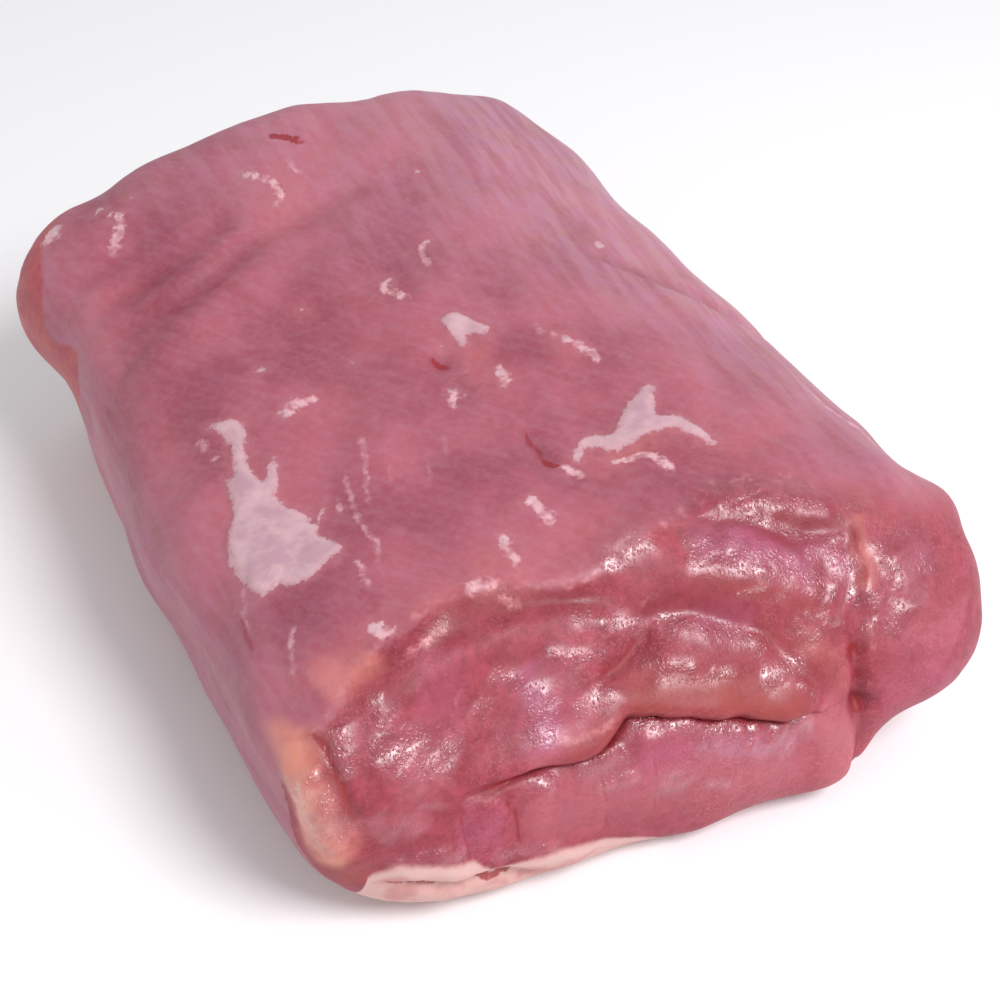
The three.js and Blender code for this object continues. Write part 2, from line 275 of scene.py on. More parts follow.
# %% Swells: the point [x, y, z], the radius, and how far out
SWELLS = [
    ("right lobe", (62, -80, 32), 17, 3.4),
    ("upper lip", (8, -88, 38), 13, 1.6),
    ("toe of the flap", (36, -98, 7), 8, 4.4),
    ("hollow under the flap", (-24, -94, 2), 16, -1.6),
    ("notch beside the flap", (55, -90, 2), 15, -9.8),
    ("ear on the right edge", (73, -69, 44), 6, 2.6),
    ("gap behind the ear", (70, -55, 50), 7, -1.6),
    ("right flank", (68, -12, 50), 34, 1.1),
    ("left flank", (-72, -8, 36), 28, 2),
    ("left foot of the folded end", (-66, -84, 8), 16, 0.4),
    ("bare lobe at the back left", (-70, 78, 46), 17, 5.2),
    ("waist before that lobe", (-72, 64, 18), 15, -5),
    ("crown of the plain end", (-6, 90, 66), 20, 1.6),
    ("left corner of the plain end", (-50, 86, 62), 12, -2.2),
    ("right corner of the plain end", (48, 60, 60), 26, 1.5),
    ("soft hollow along the top", (-18, 14, 58), 16, -0.8),
]
WAVES = [  # the lengths along x, y and z, the phase, and how far out
    ((52, 71, 63), 0.4, 0.38),
    ((-31, 44, 38), 2.1, 0.28),
    ((23, -29, 27), 4, 0.22),
]

relief = np.zeros(len(P))
for name, place, radius, out in SWELLS:
    relief += out * bell(np.linalg.norm(P - np.array(place), axis=1), radius)
for lengths, phase, out in WAVES:
    relief += out * np.sin(2 * math.pi * (P / np.array(lengths)).sum(1) + phase)
print("swells and waves stand out by", np.round([relief.min(), relief.max()], 1), "mm")


# %% [markdown]
# ## Soft random values
#
# A lattice noise gives soft random bumps of a chosen size. Folding it over, so that its zero crossings
# become valleys, gives the crumpled look of a thin wet skin. The same noise also shifts every drawn line
# a little to and fro, because no fold of meat runs as evenly as a pen.

# %% Noise
def lattice_noise(points, size, seed):
    """Soft random values from -1 to 1, with bumps of about this size in mm, or this size per axis."""
    p = points / np.array(size)
    cell = np.floor(p)
    t = p - cell
    t = t * t * (3 - 2 * t)
    value = np.zeros(len(p))
    for corner in np.ndindex(2, 2, 2):
        corner = np.array(corner)
        at = (cell + corner) @ np.array([127.1, 311.7, 74.7]) + seed * 17.13
        random = np.modf(np.sin(at) * 43758.5453)[0]
        value += random * np.prod(np.where(corner == 1, t, 1 - t), axis=1)
    return value


def crumple(points, size, seed):
    """Ridged noise from 0 to 1: rounded tops with sharp valleys between them."""
    return np.minimum(np.abs(lattice_noise(points, size, seed)) * 2, 1)


# %% [markdown]
# ## Lines drawn on the meat
#
# Folds, seams and grooves are all curves with a width and a depth. One helper gives, for every point of
# the skin, the distance to a curve, the side it is on, and how far along the curve it lies. Everything
# below is drawn with it: folds push the skin up or down, and threads of fat only colour it.

# %% Curve helpers
def smooth_curve(points, steps=6, closed=False):
    """A Catmull-Rom curve through the points."""
    p = np.array(points, float)
    if closed:
        p = np.concatenate([p[-1:], p, p[:2]])
    else:
        p = np.concatenate([p[:1], p, p[-1:]])
    t = (np.arange(steps) / steps)[:, None]
    pieces = []
    for p0, p1, p2, p3 in zip(p[:-3], p[1:-2], p[2:-1], p[3:]):
        bend = 2 * p0 - 5 * p1 + 4 * p2 - p3
        turn = -p0 + 3 * p1 - 3 * p2 + p3
        pieces.append(0.5 * (2 * p1 + (p2 - p0) * t + bend * t**2 + turn * t**3))
    return np.concatenate([*pieces, p[-2:-1]])


def nearest_on(curve, flat):
    """For each flat point: distance to the curve, side of it (above is +), and share along it."""
    best = np.full(len(flat), 1e9)
    side = np.zeros(len(flat))
    share = np.zeros(len(flat))
    lengths = np.linalg.norm(np.diff(curve, axis=0), axis=1)
    starts = np.concatenate([[0], np.cumsum(lengths)])
    for start, step, length, run in zip(curve[:-1], np.diff(curve, axis=0), lengths, starts):
        part = np.clip((flat - start) @ step / length**2, 0, 1)
        rest = flat - start - part[:, None] * step
        distance = np.hypot(*rest.T)
        closer = distance < best
        best[closer] = distance[closer]
        side[closer] = np.sign(step[0] * rest[closer, 1] - step[1] * rest[closer, 0])
        share[closer] = (run + part[closer] * length) / starts[-1]
    return best, side, share


def line_mask(flat, points, width, fade=0.18):
    """1 on a line, falling off over its width, and fading at both of its ends."""
    distance, _, share = nearest_on(smooth_curve(points), flat)
    return bell(distance, width) * smoothstep(share, 0, fade) * smoothstep(1 - share, 0, fade)


def spot_mask(flat, place, width):
    return bell(np.linalg.norm(flat - np.array(place), axis=1), width)


def strokes(flat, rows, where):
    """Soft brush strokes where the mask is above 0: half the width, the strength, and the line."""
    shown = where > 0
    total = np.zeros(len(flat))
    for half_width, strength, points in rows:
        stroke = strength * line_mask(flat[shown], points, half_width, 0.12)
        total[shown] = np.maximum(total[shown], stroke)
    return total * where


WAVER_WIDE, WAVER_NARROW = 0.9, 0.35


def shifted(flat, seed):
    """The flat points moved to and fro by about a millimetre, so that lines drawn on them waver."""
    moves = []
    for k in range(2):
        wide = lattice_noise(P, 7, seed + k)
        narrow = lattice_noise(P, 2.6, seed + k + 2)
        moves.append(WAVER_WIDE * wide + WAVER_NARROW * narrow)
    return flat + np.stack(moves, 1)


up_the_drawing = P[:, 2] * math.cos(DRAWING_LEAN) + (P[:, 1] - DRAWING_FOOT_Y) * math.sin(DRAWING_LEAN)
on_drawing = shifted(np.stack([P[:, 0], up_the_drawing], 1), 10)
on_top = shifted(P[:, :2], 20)
on_plain_end = P[:, [0, 2]]
faces_drawing = smoothstep(N @ DRAWING_FACES, 0.2, 0.45) * (P[:, 1] < -20)
faces_up = smoothstep(N[:, 2], 0.35, 0.6)
faces_back = smoothstep(N[:, 1], 0.5, 0.8)
print("points on the folded end:", int((faces_drawing > 0.5).sum()))

# %% [markdown]
# ## Folds of the cut end, furrows of the top, and seams of the plain end
#
# The folded end is where the butcher cut across several muscles. They have shrunk back by different
# amounts, so they lie over each other like lips. Every fold below is a line with a width and a height, in
# millimetres.

# %% Fold tables: width, how far out, and the line's points
FOLDED_END_LINES = [
    ("rolled rim", 3.6, 0.9, [(-46, 56), (-33, 61), (-22, 62), (-11, 59.5), (6, 61), (18, 63)]),
    ("step under the rim", 2.4, -1, [
        (-42, 52), (-34, 56), (-27, 58), (-20, 57.5), (-13, 55.5), (-5, 53.5), (3, 53),
    ]),
    ("edge of the shelf", 4, 0.4, [(-38, 49.5), (-31, 52), (-24, 53), (-16, 52), (-8, 49.5), (0, 48)]),
    ("top fold", 3.8, 1.4, [(17, 65), (24, 64), (32, 61.5), (40, 58), (47, 53.5)]),
    ("groove under it", 2.2, -0.9, [(17, 61.5), (25, 58.8), (32, 55.8), (38, 53), (45, 51)]),
    ("second fold", 5, 1.3, [(4, 54), (13, 53), (21, 49.5), (28, 45.5), (34, 41.5), (38, 38)]),
    ("crease round the lip", 1.8, -0.8, [(-2, 48), (11, 45.5), (18, 41), (25, 34), (30.5, 25), (36, 18)]),
    ("ridge inside that crease", 4.2, 1, [(-2, 42), (9, 39.5), (15, 35.5), (21, 29), (26, 22)]),
    ("crease at the lip's end", 1.4, -0.9, [(2, 46), (-2, 43), (-6, 41), (-11, 40.5)]),
    ("strand by the corner", 2, 0.6, [(51, 55), (49, 52), (47, 47), (44.5, 41), (43, 36)]),
    ("corner seam above", 1.8, -0.7, [(46, 53), (44.2, 47), (42, 41), (40.5, 35), (39, 28)]),
    ("corner seam below", 1.6, -1.6, [(39.5, 32), (38.6, 24), (38.2, 14), (38, 2), (38, -6)]),
    ("tail of the lip", 1.2, -1, [(-24, 29), (-33, 28.5), (-43, 27)]),
    ("flap's upper edge", 2.4, 1.2, [
        (-36, 24), (-20, 24), (-8, 27.5), (3, 26), (12, 22.5), (22, 19.5), (33, 15),
    ]),
    ("swell of the eye", 5, 1.5, [(-57, 37), (-50, 35), (-44, 32), (-38, 30)]),
    ("lobe's shoulder", 5, 1.2, [(54, 47), (55.5, 40), (54, 31)]),
    ("left seam", 1.4, -1.1, [(-63, 50), (-62, 43), (-61, 37), (-60, 31), (-58, 24)]),
    ("band left of that seam", 3, 1.2, [(-67, 46), (-66, 38), (-64, 30), (-59, 20)]),
    ("edge of the fat", 2.8, 1.3, [(-60, 18.5), (-48, 17.5), (-40, 13), (-23, 9), (-14, 7)]),
    ("slit in the fat", 1.2, -1.7, [(-56, 16.5), (-48, 12.9), (-39, 11.2), (-33, 8), (-24, 5.7)]),
    ("joint in the flap", 1.2, -0.6, [(-41.2, 25), (-40.7, 13.8)]),
    ("joint in the flap", 1.2, -0.7, [(-34.5, 27), (-32.3, 22), (-31, 14)]),
    ("joint in the flap", 1.2, -0.35, [(-14.5, 25), (-14, 17), (-15, 9)]),
    ("joint in the flap", 1.2, -0.3, [(-4.9, 26), (-4.7, 11)]),
    ("joint in the flap", 1.2, -0.3, [(12.8, 19), (12.5, 6)]),
]
TOP_LINES = [
    ("rib furrow", 3.4, -1.7, [(-68, 37.5), (-41, 42.7), (-24, 49.3), (-6, 54), (11, 54)]),
    ("rib furrow", 2.4, -0.9, [(-66, 28), (-58, 33), (-48, 37)]),
    ("rib furrow", 3.4, -1.5, [(-67, 50), (-54, 49.4), (-39, 53.8), (-22.5, 60)]),
    ("rib furrow", 3.4, -1.1, [(-67, 60.5), (-58, 59), (-45, 61.6)]),
    ("long crease", 1.8, -1.3, [(36, 21), (47.5, 9), (55, 0), (68, -16)]),
    ("groove beside it", 1.6, -0.5, [(40, 12), (46, 5.5), (54, 0.5), (62, -8)]),
    ("groove beside it", 1.6, -0.4, [(30, 26), (40, 22), (50, 12), (60, 3)]),
    ("ridge beside the furrows", 3, 0.7, [(-66, 43), (-50, 45), (-36, 49), (-24, 55)]),
    ("soft fold", 6, -0.9, [(15, 56), (31, 44), (39, 31), (50, 13.5)]),
    ("fold under the skin", 3, -0.6, [(-34, 18), (-24, 24), (-12, 28), (2, 29)]),
    ("fold under the skin", 2.6, 0.5, [(14, 34), (26, 27), (36, 24)]),
    ("knife nick", 1.8, -1.2, [(2, -28), (0.6, -32), (-0.6, -36.5), (2, -41)]),
    ("end of the nick", 1.8, -0.5, [(2, -41), (3.5, -47), (5.5, -50.5)]),
    ("crack at the plain end", 2.4, -0.8, [(-10.8, 83), (-9.3, 78.5), (-5, 74.5)]),
]
PLAIN_END_LINES = [
    ("seam round the eye of the loin", 3.5, -1.8, [(28, 62), (38, 40), (30, 18), (6, 10)]),
    ("edge of the fat", 3.5, -1.4, [(-60, 20), (-30, 12), (6, 10), (46, 14)]),
]
FOLDED_END_SPOTS = [
    ((39.3, 29.5), 1.8, -1.6), ((39, 24.5), 1.6, -1), ((39, 19), 3, -2.6), ((-66, 40), 2.6, 1.2),
    ((-64.5, 34.5), 2.6, 1.3), ((-62.5, 29), 2.6, 1.2), ((-26, 25), 2.4, 0.7), ((2, 17), 2.4, 0.6),
]
TOP_SPOTS = [((-4.4, -0.5), 2.6, -1.8)]


def draw_folds(flat, lines, spots=()):
    height = np.zeros(len(flat))
    for _, width, out, points in lines:
        height += out * line_mask(flat, points, width)
    for place, width, out in spots:
        height += out * spot_mask(flat, place, width)
    return height


folds = faces_drawing * draw_folds(on_drawing, FOLDED_END_LINES, FOLDED_END_SPOTS)
folds += faces_up * draw_folds(on_top, TOP_LINES, TOP_SPOTS)
folds += faces_back * draw_folds(on_plain_end, PLAIN_END_LINES)
relief += folds
print("deepest fold", round(-folds.min(), 1), "mm, highest", round(folds.max(), 1), "mm")

# %% [markdown]
# ## The slit between the lip and the flap
#
# One fold is a real gap: the upper lip hangs over the flap below it. Pushing the skin in along the line
# makes the gap, and sliding the lip's edge down the face makes it overhang, which a push along the
# surface can't do.

# %% Slit
SLIT = [
    (-39.5, 27.5), (-32, 28.6), (-24.7, 28.9), (-18, 27.6), (-13.6, 28.1), (-9.6, 30.7), (-7, 32.5),
    (-3.8, 31.9), (1.6, 29.8), (11.4, 26.1), (19.8, 23.5), (28.6, 20.2), (32.5, 18.7),
]
SLIT_DEPTH, SLIT_WIDTH = 2.6, 1.0
LIP_OUT, FLAP_OUT = 1.5, -1.6
OVERHANG = 1.5

distance, side, share = nearest_on(smooth_curve(SLIT), on_drawing)
opened = smoothstep(share, 0, 0.3) * smoothstep(1 - share, 0, 0.12) * faces_drawing
lips = np.where(side > 0, LIP_OUT, FLAP_OUT) * bell(distance - 2.5, 3.0)
slit_gap = opened * bell(distance, SLIT_WIDTH)
relief += opened * lips - SLIT_DEPTH * slit_gap
slide = np.where(side > 0, OVERHANG, -OVERHANG / 4) * bell(distance - 1.5, 2.5) * opened
shaped = P + N * relief[:, None] + DOWN_THE_DRAWING * slide[:, None]
shaped_normals = normals_of(shaped, faces)
print("the slit is", round(float(np.ptp(np.array(SLIT)[:, 0]))), "mm long")


# %% [markdown]
# ## Fine unevenness
#
# Cut muscle isn't smooth, and a thin wet skin forms on it. Where that skin has shrunk it lies in fine
# wrinkles, which glitter, and between those places the meat is smooth and only satin. So the wrinkled
# places are brushed on. They are shape as well as shading, because they show at the edges.

# %% Where the wet skin of the cut face has wrinkled: half the width, the strength, and the line [x, t]
WRINKLED = [
    (3.4, 1, [(-67, 43), (-65, 36), (-62, 28)]), (2.6, 1, [(-60, 49), (-60, 44), (-59, 38)]),
    (4.6, 0.9, [(-54, 45), (-49, 41), (-44, 38), (-38, 34)]), (1.8, 0.7, [(-53, 51), (-49, 49)]),
    (2.6, 0.7, [(-57, 26), (-52, 28), (-49, 24)]), (1, 0.6, [(-50, 30), (-43, 28)]),
    (2, 0.7, [(-30, 48), (-27, 45), (-23, 43)]), (2.8, 0.9, [(-22, 44), (-22, 39), (-24, 32)]),
    (1.2, 0.7, [(-19, 48), (-13, 46), (-7, 44)]), (1.8, 0.9, [(-7, 50), (-2, 47), (1, 45)]),
    (1.8, 0.9, [(3, 47), (7, 45), (12, 43)]), (1.5, 1, [(-4, 58), (0, 59), (5, 60), (9, 60)]),
    (1.2, 0.7, [(-3, 40), (2, 39), (8, 37)]), (1.8, 0.7, [(-18, 36), (-12, 37), (-7, 38)]),
    (2.6, 1, [(-19, 26), (-14, 25), (-9, 27)]), (1.6, 1, [(-28, 28), (-23, 24)]),
    (1.6, 0.9, [(-3, 19), (3, 16)]), (2, 1, [(-9, 31), (-4, 30), (5, 26), (12, 23), (18, 21)]),
    (1.8, 1, [(18, 20), (23, 19), (29, 18)]), (0.9, 0.8, [(5, 14), (10, 13)]),
    (3, 0.8, [(22, 64), (28, 62), (34, 61), (39, 60), (45, 58)]),
    (2.5, 0.5, [(44, 56), (50, 55), (54, 54)]), (1, 0.9, [(25, 59), (32, 56), (38, 52), (46, 49)]),
    (4.8, 1, [(12, 58), (19, 56), (25, 53)]), (3.4, 1, [(22, 53), (28, 50), (33, 47)]),
    (2.2, 1, [(31, 47), (35, 44), (39, 41)]), (3, 0.8, [(36, 52), (40, 48), (44, 43)]),
    (2, 1, [(40, 41), (44, 38), (46, 36)]), (1.3, 1, [(41, 33), (45, 33)]),
    (1.5, 1, [(50, 49), (49, 44), (48, 39)]), (1.3, 0.9, [(51, 44), (50, 37)]),
    (2, 0.8, [(9, 43), (14, 42), (18, 39), (23, 34)]), (1.8, 1, [(19, 31), (23, 31), (29, 32)]),
    (1.1, 1, [(9, 36), (12, 34), (15, 32)]), (1, 0.9, [(26, 29), (29, 24)]),
    (0.9, 0.9, [(31, 39), (37, 38)]), (1.3, 0.8, [(-57, 21), (-48, 20), (-41, 17.5)]),
    (1, 0.8, [(-38, 15), (-30, 13), (-22, 11)]), (2.2, 0.9, [(2, 24), (10, 21), (18, 18), (26, 15)]),
    (1.6, 0.8, [(-16, 21), (-8, 22)]), (1.8, 0.7, [(-6, 17), (2, 15)]),
    (3, 0.5, [(55, 50), (58, 44), (58, 37)]), (2.4, 0.6, [(50, 36), (47, 30)]),
    (3, 0.5, [(-52, 36), (-46, 33)]), (2, 0.6, [(-57, 33), (-56, 28)]),
    (2.4, 0.5, [(-34, 44), (-31, 40)]), (2.4, 0.6, [(28, 38), (33, 34)]),
    (1.2, 0.4, [(-2, 37), (5, 36), (12, 33)]), (2, 0.5, [(-12, 52), (-6, 52)]),
    (1.4, 0.5, [(-40, 56), (-33, 59)]), (0.9, 0.7, [(19, 47), (26, 46)]),
    (0.9, 0.8, [(24, 44), (28, 43)]), (0.9, 0.6, [(33, 37), (39, 35)]),
]
wrinkled = strokes(on_drawing, WRINKLED, faces_drawing)
print("wrinkled skin at", int((wrinkled > 0.5).sum()), "points")

# %% Fat that lies on the silver skin, as outlines [x, y]
def signed_distance_inside(flat, outline):
    """How far inside a closed outline each flat point is, in mm, and less than 0 outside it."""
    curve = smooth_curve(outline, steps=3, closed=True)
    distance, _, _ = nearest_on(curve, flat)
    x, y = flat.T
    inside = np.zeros(len(flat), bool)
    for (x1, y1), (x2, y2) in zip(curve, np.roll(curve, -1, axis=0)):
        crosses = (y1 > y) != (y2 > y)
        inside ^= crosses & (x < (x2 - x1) * (y - y1) / np.where(y2 == y1, 1, y2 - y1) + x1)
    return np.where(inside, distance, -distance)


FAT_PATCHES = {
    "boot": [
        (-53.9, 4), (-50.1, 2.6), (-47, -0.5), (-50.5, -10.1), (-49.5, -16.2), (-45.3, -10.9),
        (-45.7, -16.2), (-48.1, -22.2), (-46.1, -27.5), (-45.3, -31.6), (-42.6, -27.8), (-42.7, -30.2),
        (-45.3, -34.5), (-43, -39.6), (-47.1, -42.3), (-52.8, -44.1), (-55.7, -42.5), (-59.1, -42.8),
        (-61.2, -37.7), (-61.8, -32.3), (-59.2, -24.5), (-57.2, -20.2), (-56.2, -12), (-53.7, -10.9),
        (-51.6, -3.1),
    ],
    "wing": [
        (7.9, -35.7), (11.9, -35.1), (15.6, -36.4), (22.5, -30.4), (30.1, -28), (25.3, -35.1),
        (29.7, -38.5), (32.8, -44), (32.3, -47.4), (29, -43.6), (25.7, -40.7), (20.2, -39.4),
        (14.7, -40.5), (9.9, -38), (6.4, -41.4), (5.1, -39.7),
    ],
    "by the pit": [(0, 9.5), (4.7, 9.6), (8.1, 3.2), (5.6, 1), (3.9, 3.2), (0.6, 0.1), (0.3, 4.3)],
}
inside = np.full(len(P), -20.0)
for name, outline in FAT_PATCHES.items():
    patch = signed_distance_inside(on_top, outline)
    inside = np.maximum(inside, patch)
    print(name, "patch of fat:", round(float(patch.max()) * 2, 1), "mm wide")
fat_inside = np.where(faces_up > 0.1, inside, -20)

# %% [markdown]
# Four kinds of fine unevenness are added up: soft bumps on the cut face, its wrinkles, which are taller
# on the flap, long fibres under the silver skin, and the thickness of the fat.

# %% Relief: how far out each kind goes, in mm
CUT_WIDE, CUT_NARROW = 0.25, 0.1
WRINKLES, MORE_ON_FLAP = 0.34, 0.4
FIBRES, SKIN_NARROW = 0.14, 0.05
FAT_THICK, FAT_UNEVEN = 0.65, 0.35
FIBRE_SIZE = (3.0, 26, 3.0)

cut_edge = smoothstep(on_drawing[:, 1], 64, 55)  # the folded end's face ends at its rim
cut = np.clip(faces_drawing * cut_edge, 0, 1)
on_flap = smoothstep(on_drawing[:, 1], 26, 20)
fine = cut * (CUT_WIDE * lattice_noise(P, 5, 1) + CUT_NARROW * lattice_noise(P, 2.4, 5))
fine += (WRINKLES + MORE_ON_FLAP * on_flap) * wrinkled * crumple(P, 2.6, 2)
fibres = FIBRES * lattice_noise(P, FIBRE_SIZE, 3) + SKIN_NARROW * lattice_noise(P, (2.2, 5, 2.2), 4)
fine += (1 - cut) * fibres
fat_slab = smoothstep(fat_inside + lattice_noise(P, 3, 6), -0.4, 1.4)
fine += fat_slab * (FAT_THICK + FAT_UNEVEN * lattice_noise(P, (4, 8, 4), 7))
shaped += shaped_normals * fine[:, None]
print("fine bumps reach", round(fine.max(), 2), "mm")

# %% [markdown]
# ## Settle it and fit it to the part
#
# The underside has sunk flat under the meat's own weight, so every point below the table is lifted onto
# it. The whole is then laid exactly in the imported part's box, which moves nothing by more than a few
# tenths of a millimetre.

# %% Settle and fit
shaped[:, 2] = np.maximum(shaped[:, 2] - SETTLED, 0)
low, high = shaped.min(0), shaped.max(0)
stretch = (LOIN_HIGH - LOIN_LOW) / ((high - low) * MM)
placed = LOIN_LOW + (shaped - low) * MM * stretch
print("stretched to fit the part by", np.round(stretch, 4))

mesh = bpy.data.meshes.new("pork_loin_meat")
mesh.from_pydata(placed.tolist(), [], faces.tolist())
mesh.shade_smooth()
mesh.update()
meat = add("pork_loin_meat", mesh)

# %% [markdown]
# ## Where each tissue shows
#
# The colours of meat follow its tissues, so the skin's points carry a few soft maps: which part is cut
# face, how near a point is to a patch of fat, and so on. A few maps also carry painted shade in the
# creases and painted sheen on the sides and on the wet folds. Distances in millimetres work best for
# anything with an edge, because the material can then roughen that edge with noise much finer than the
# mesh.

# %% Map helpers
maps = {}


def blobs(flat, rows):
    """Soft ovals: the centre, the two radii, and the strength."""
    total = np.zeros(len(flat))
    for (cx, cy), (rx, ry), strength in rows:
        total += strength * np.exp(-(((flat[:, 0] - cx) / rx) ** 2) - ((flat[:, 1] - cy) / ry) ** 2)
    return np.clip(total, 0, 1)


# %% The cut face below its rim
RIM = [
    (-72, 38), (-63, 47), (-54, 54.3), (-44.3, 58.2), (-33, 59.9), (-22.9, 60.7), (-10.9, 57.7), (-3, 57.7),
    (6.4, 59.8), (15, 62), (24, 64.5), (34, 63.5), (46, 59), (56, 54), (72, 46),
]
distance, side, _ = nearest_on(smooth_curve(RIM), on_drawing)
below_rim = np.where(side > 0, -distance, distance)
maps["cut_mm"] = np.where(faces_drawing > 0, np.clip(below_rim, -20, 20), -20)
maps["crisp_rim"] = 1 - 0.86 * smoothstep(on_drawing[:, 0], 12, 32)  # right of the rolled rim it fades out
print("cut face:", int((maps["cut_mm"] > 0).sum()), "points")

# %% Marks of fat and torn skin: half the width in mm, and the line
MARKS = [
    (0.8, [(-4.5, 27), (-6.2, 25), (-2, 17.5)]), (0.7, [(8, 34.4), (5.7, 31.8), (4.7, 24.6)]),
    (1, [(-38.9, -1.9), (-34.9, 0.6), (-31, 0)]), (0.35, [(-6.6, -7.3), (-4.1, -6.6), (0.5, -6.4)]),
    (0.8, [(4.5, -8), (4.4, -11.7), (1.9, -14.2)]), (1.3, [(-6.1, -10.5), (-6.6, -13), (-8.9, -15)]),
    (0.5, [(17.2, 0.6), (16.9, -3.3), (19.9, -6.4)]),
    (1, [(19.9, -6.4), (21.7, -9.7), (23.4, -13), (23.3, -17.4)]),
    (1, [(12, -42.5), (18.9, -45.7), (21.6, -52.5)]), (0.9, [(0.6, -40), (3.2, -42.6), (5.4, -45)]),
    (1.1, [(-7.8, -45), (-6.5, -49), (-7.2, -54.5)]), (0.8, [(-16.4, -50.5), (-16, -55.5), (-17.5, -61)]),
    (1, [(-46.4, -59.8), (-43, -64.7)]),
    (0.9, [(-52.8, 74.8), (-49.7, 69.5), (-52.3, 65.2), (-55, 61)]), (1.1, [(-61, 79.6), (-63.3, 75.7)]),
    (0.8, [(-21, 70), (-15.5, 64.5), (-17.5, 57)]), (0.6, [(-10, 70), (-8.7, 65.1)]),
    (0.7, [(-55.7, 2), (-56.9, 0.5), (-55.8, -3)]), (0.7, [(-55.6, -4.4), (-54.6, -6)]),
    (0.5, [(-40.2, -33), (-39.2, -27)]), (0.5, [(-43.4, -42.9), (-41.1, -47), (-42.4, -52.2)]),
    (0.45, [(-35, -18), (-37, -36), (-38.5, -52)]), (0.5, [(-57.5, -50.8), (-60.1, -57.4), (-61, -63)]),
    (0.4, [(-63, -41), (-64, -47)]), (0.35, [(-60.5, -34), (-63.5, -46)]),
    (0.5, [(60, -30), (64.5, -45), (68, -60), (71, -70)]), (0.3, [(-25, -22), (-28, -30)]),
    (0.3, [(-19, -24), (-22, -33)]), (0.3, [(-13, -20), (-16, -27)]),
    (0.5, [(-28, -12), (-32, -26), (-34, -34)]),
]
maps["fat_mm"] = fat_inside
FLECKS = [
    ((-38.8, 13.2), 1.3), ((43.2, 20.1), 1.2), ((15.2, 54.9), 0.9), ((-52.6, 76.5), 1.2),
    ((-46.4, 75.8), 0.8), ((-18.1, 58.3), 0.8), ((-3, 3), 0.5), ((-38.4, -1.6), 1.5), ((20.3, -7), 1.4),
    ((-6.4, -11), 1.3), ((4, -10.5), 1.1), ((-7.4, -46.5), 1.5), ((-45.6, -61), 1.7),
    ((-20.4, 69.3), 1.5), ((-61.4, 78.5), 1.6), ((-4.9, 26.4), 1.2), ((13, -43), 1.1),
    ((-50.5, 70.5), 1.1), ((22.6, -12), 1.2), ((-16.2, -53), 1.2), ((2.6, -42), 1.1), ((7, 33), 1.1),
    ((26, 50), 0.6), ((8, 20), 0.5), ((-21, 8), 0.5), ((-24, 26), 0.6),
]
for place, radius in FLECKS:
    from_edge = radius - np.linalg.norm(on_top - np.array(place), axis=1)
    maps["fat_mm"] = np.maximum(maps["fat_mm"], np.where(faces_up > 0.1, from_edge, -20))

THREADS = [
    (0.5, [(-45, 54), (-39, 56), (-33, 57.5)]), (0.7, [(-29, 61), (-25, 61.5), (-21, 61)]),
    (0.7, [(-23, 59), (-19, 58)]), (0.15, [(-35, 52), (-24, 54), (-15, 53)]),
    (0.28, [(-34, 48), (-37, 46), (-38, 43)]), (0.35, [(-3, 60), (6, 60)]),
    (0.45, [(-23, 33), (-15, 32), (-8, 34.5)]), (0.35, [(-40, 27), (-37, 27), (-33, 25)]),
    (0.5, [(-8, 57), (-2, 58.5)]), (0.35, [(1, 49.5), (3, 51), (6, 50.5)]),
    (0.4, [(41, 36), (43, 33), (42, 28)]),
]

# The small red cuts are partly the red of torn meat and partly painted shade: dark red lines laid in the
# slit, seams, pits and cracks.
GASHES = [
    (0.7, [(-38, 27.6), *SLIT[1:7]]), (0.7, [*SLIT[6:12], (33, 18.5)]),
    (0.6, [(-63, 50), (-62, 43), (-61, 37), (-60, 31)]),
    (0.5, [(0, 45), (-3, 42.5), (-6, 41), (-11, 41)]), (0.45, [(-58, 17), (-51, 14), (-46, 12)]),
    (0.6, [(-46, 12), (-41, 12.5), (-37, 9), (-31, 8)]), (0.9, [(39.3, 31), (39.3, 28)]),
    (0.6, [(39.3, 26), (39, 23.5)]), (0.7, [(38.6, 20), (38.4, 15)]), (0.35, [(38.3, 15), (38, 4)]),
    (0.3, [(-30, 39), (-36, 34)]), (0.4, [(-41, 27), (-41.5, 20), (-41, 15)]),
    (0.5, [(-35, 27), (-32, 22), (-31, 13)]), (0.35, [(-14, 25), (-15, 9)]), (0.3, [(-5, 26), (-5, 10)]),
    (0.2, [(13, 20), (12.5, 6)]), (0.35, [(45.5, 54), (46.5, 50), (45, 44), (43, 38)]),
    (0.25, [(17, 61.5), (27, 58), (36, 54)]), (0.25, [(53, 47), (52, 42), (51, 38)]),
    (0.3, [(-27, 59), (-20, 58.5), (-13, 57)]), (0.25, [(-39, 53), (-34, 57)]),
]
TOP_GASHES = [
    (0.7, [(-6.4, 2.2), (-5.4, -0.6), (-2.6, -1.8)]), (0.45, [(2, -28), (0.6, -32), (-0.4, -36.5)]),
    (0.65, [(-0.6, -35), (0.4, -38.5), (2.2, -41.5)]), (0.22, [(2, -41), (3.5, -47), (6, -51)]),
    (0.35, [(-64, -42), (-65.6, -52)]), (0.35, [(1, -6.5), (-2, -7), (-4.5, -8.5)]),
    (0.3, [(-16.2, -51), (-17.6, -62)]), (1, [(-11, 80), (-9, 77), (-4, 73)]),
    (0.35, [(-70, -33), (-69.5, -36)]), (0.25, [(38, 17), (47.5, 8), (54, 0.5)]),
    (0.2, [(41, 12), (46, 6), (53, 1)]),
]


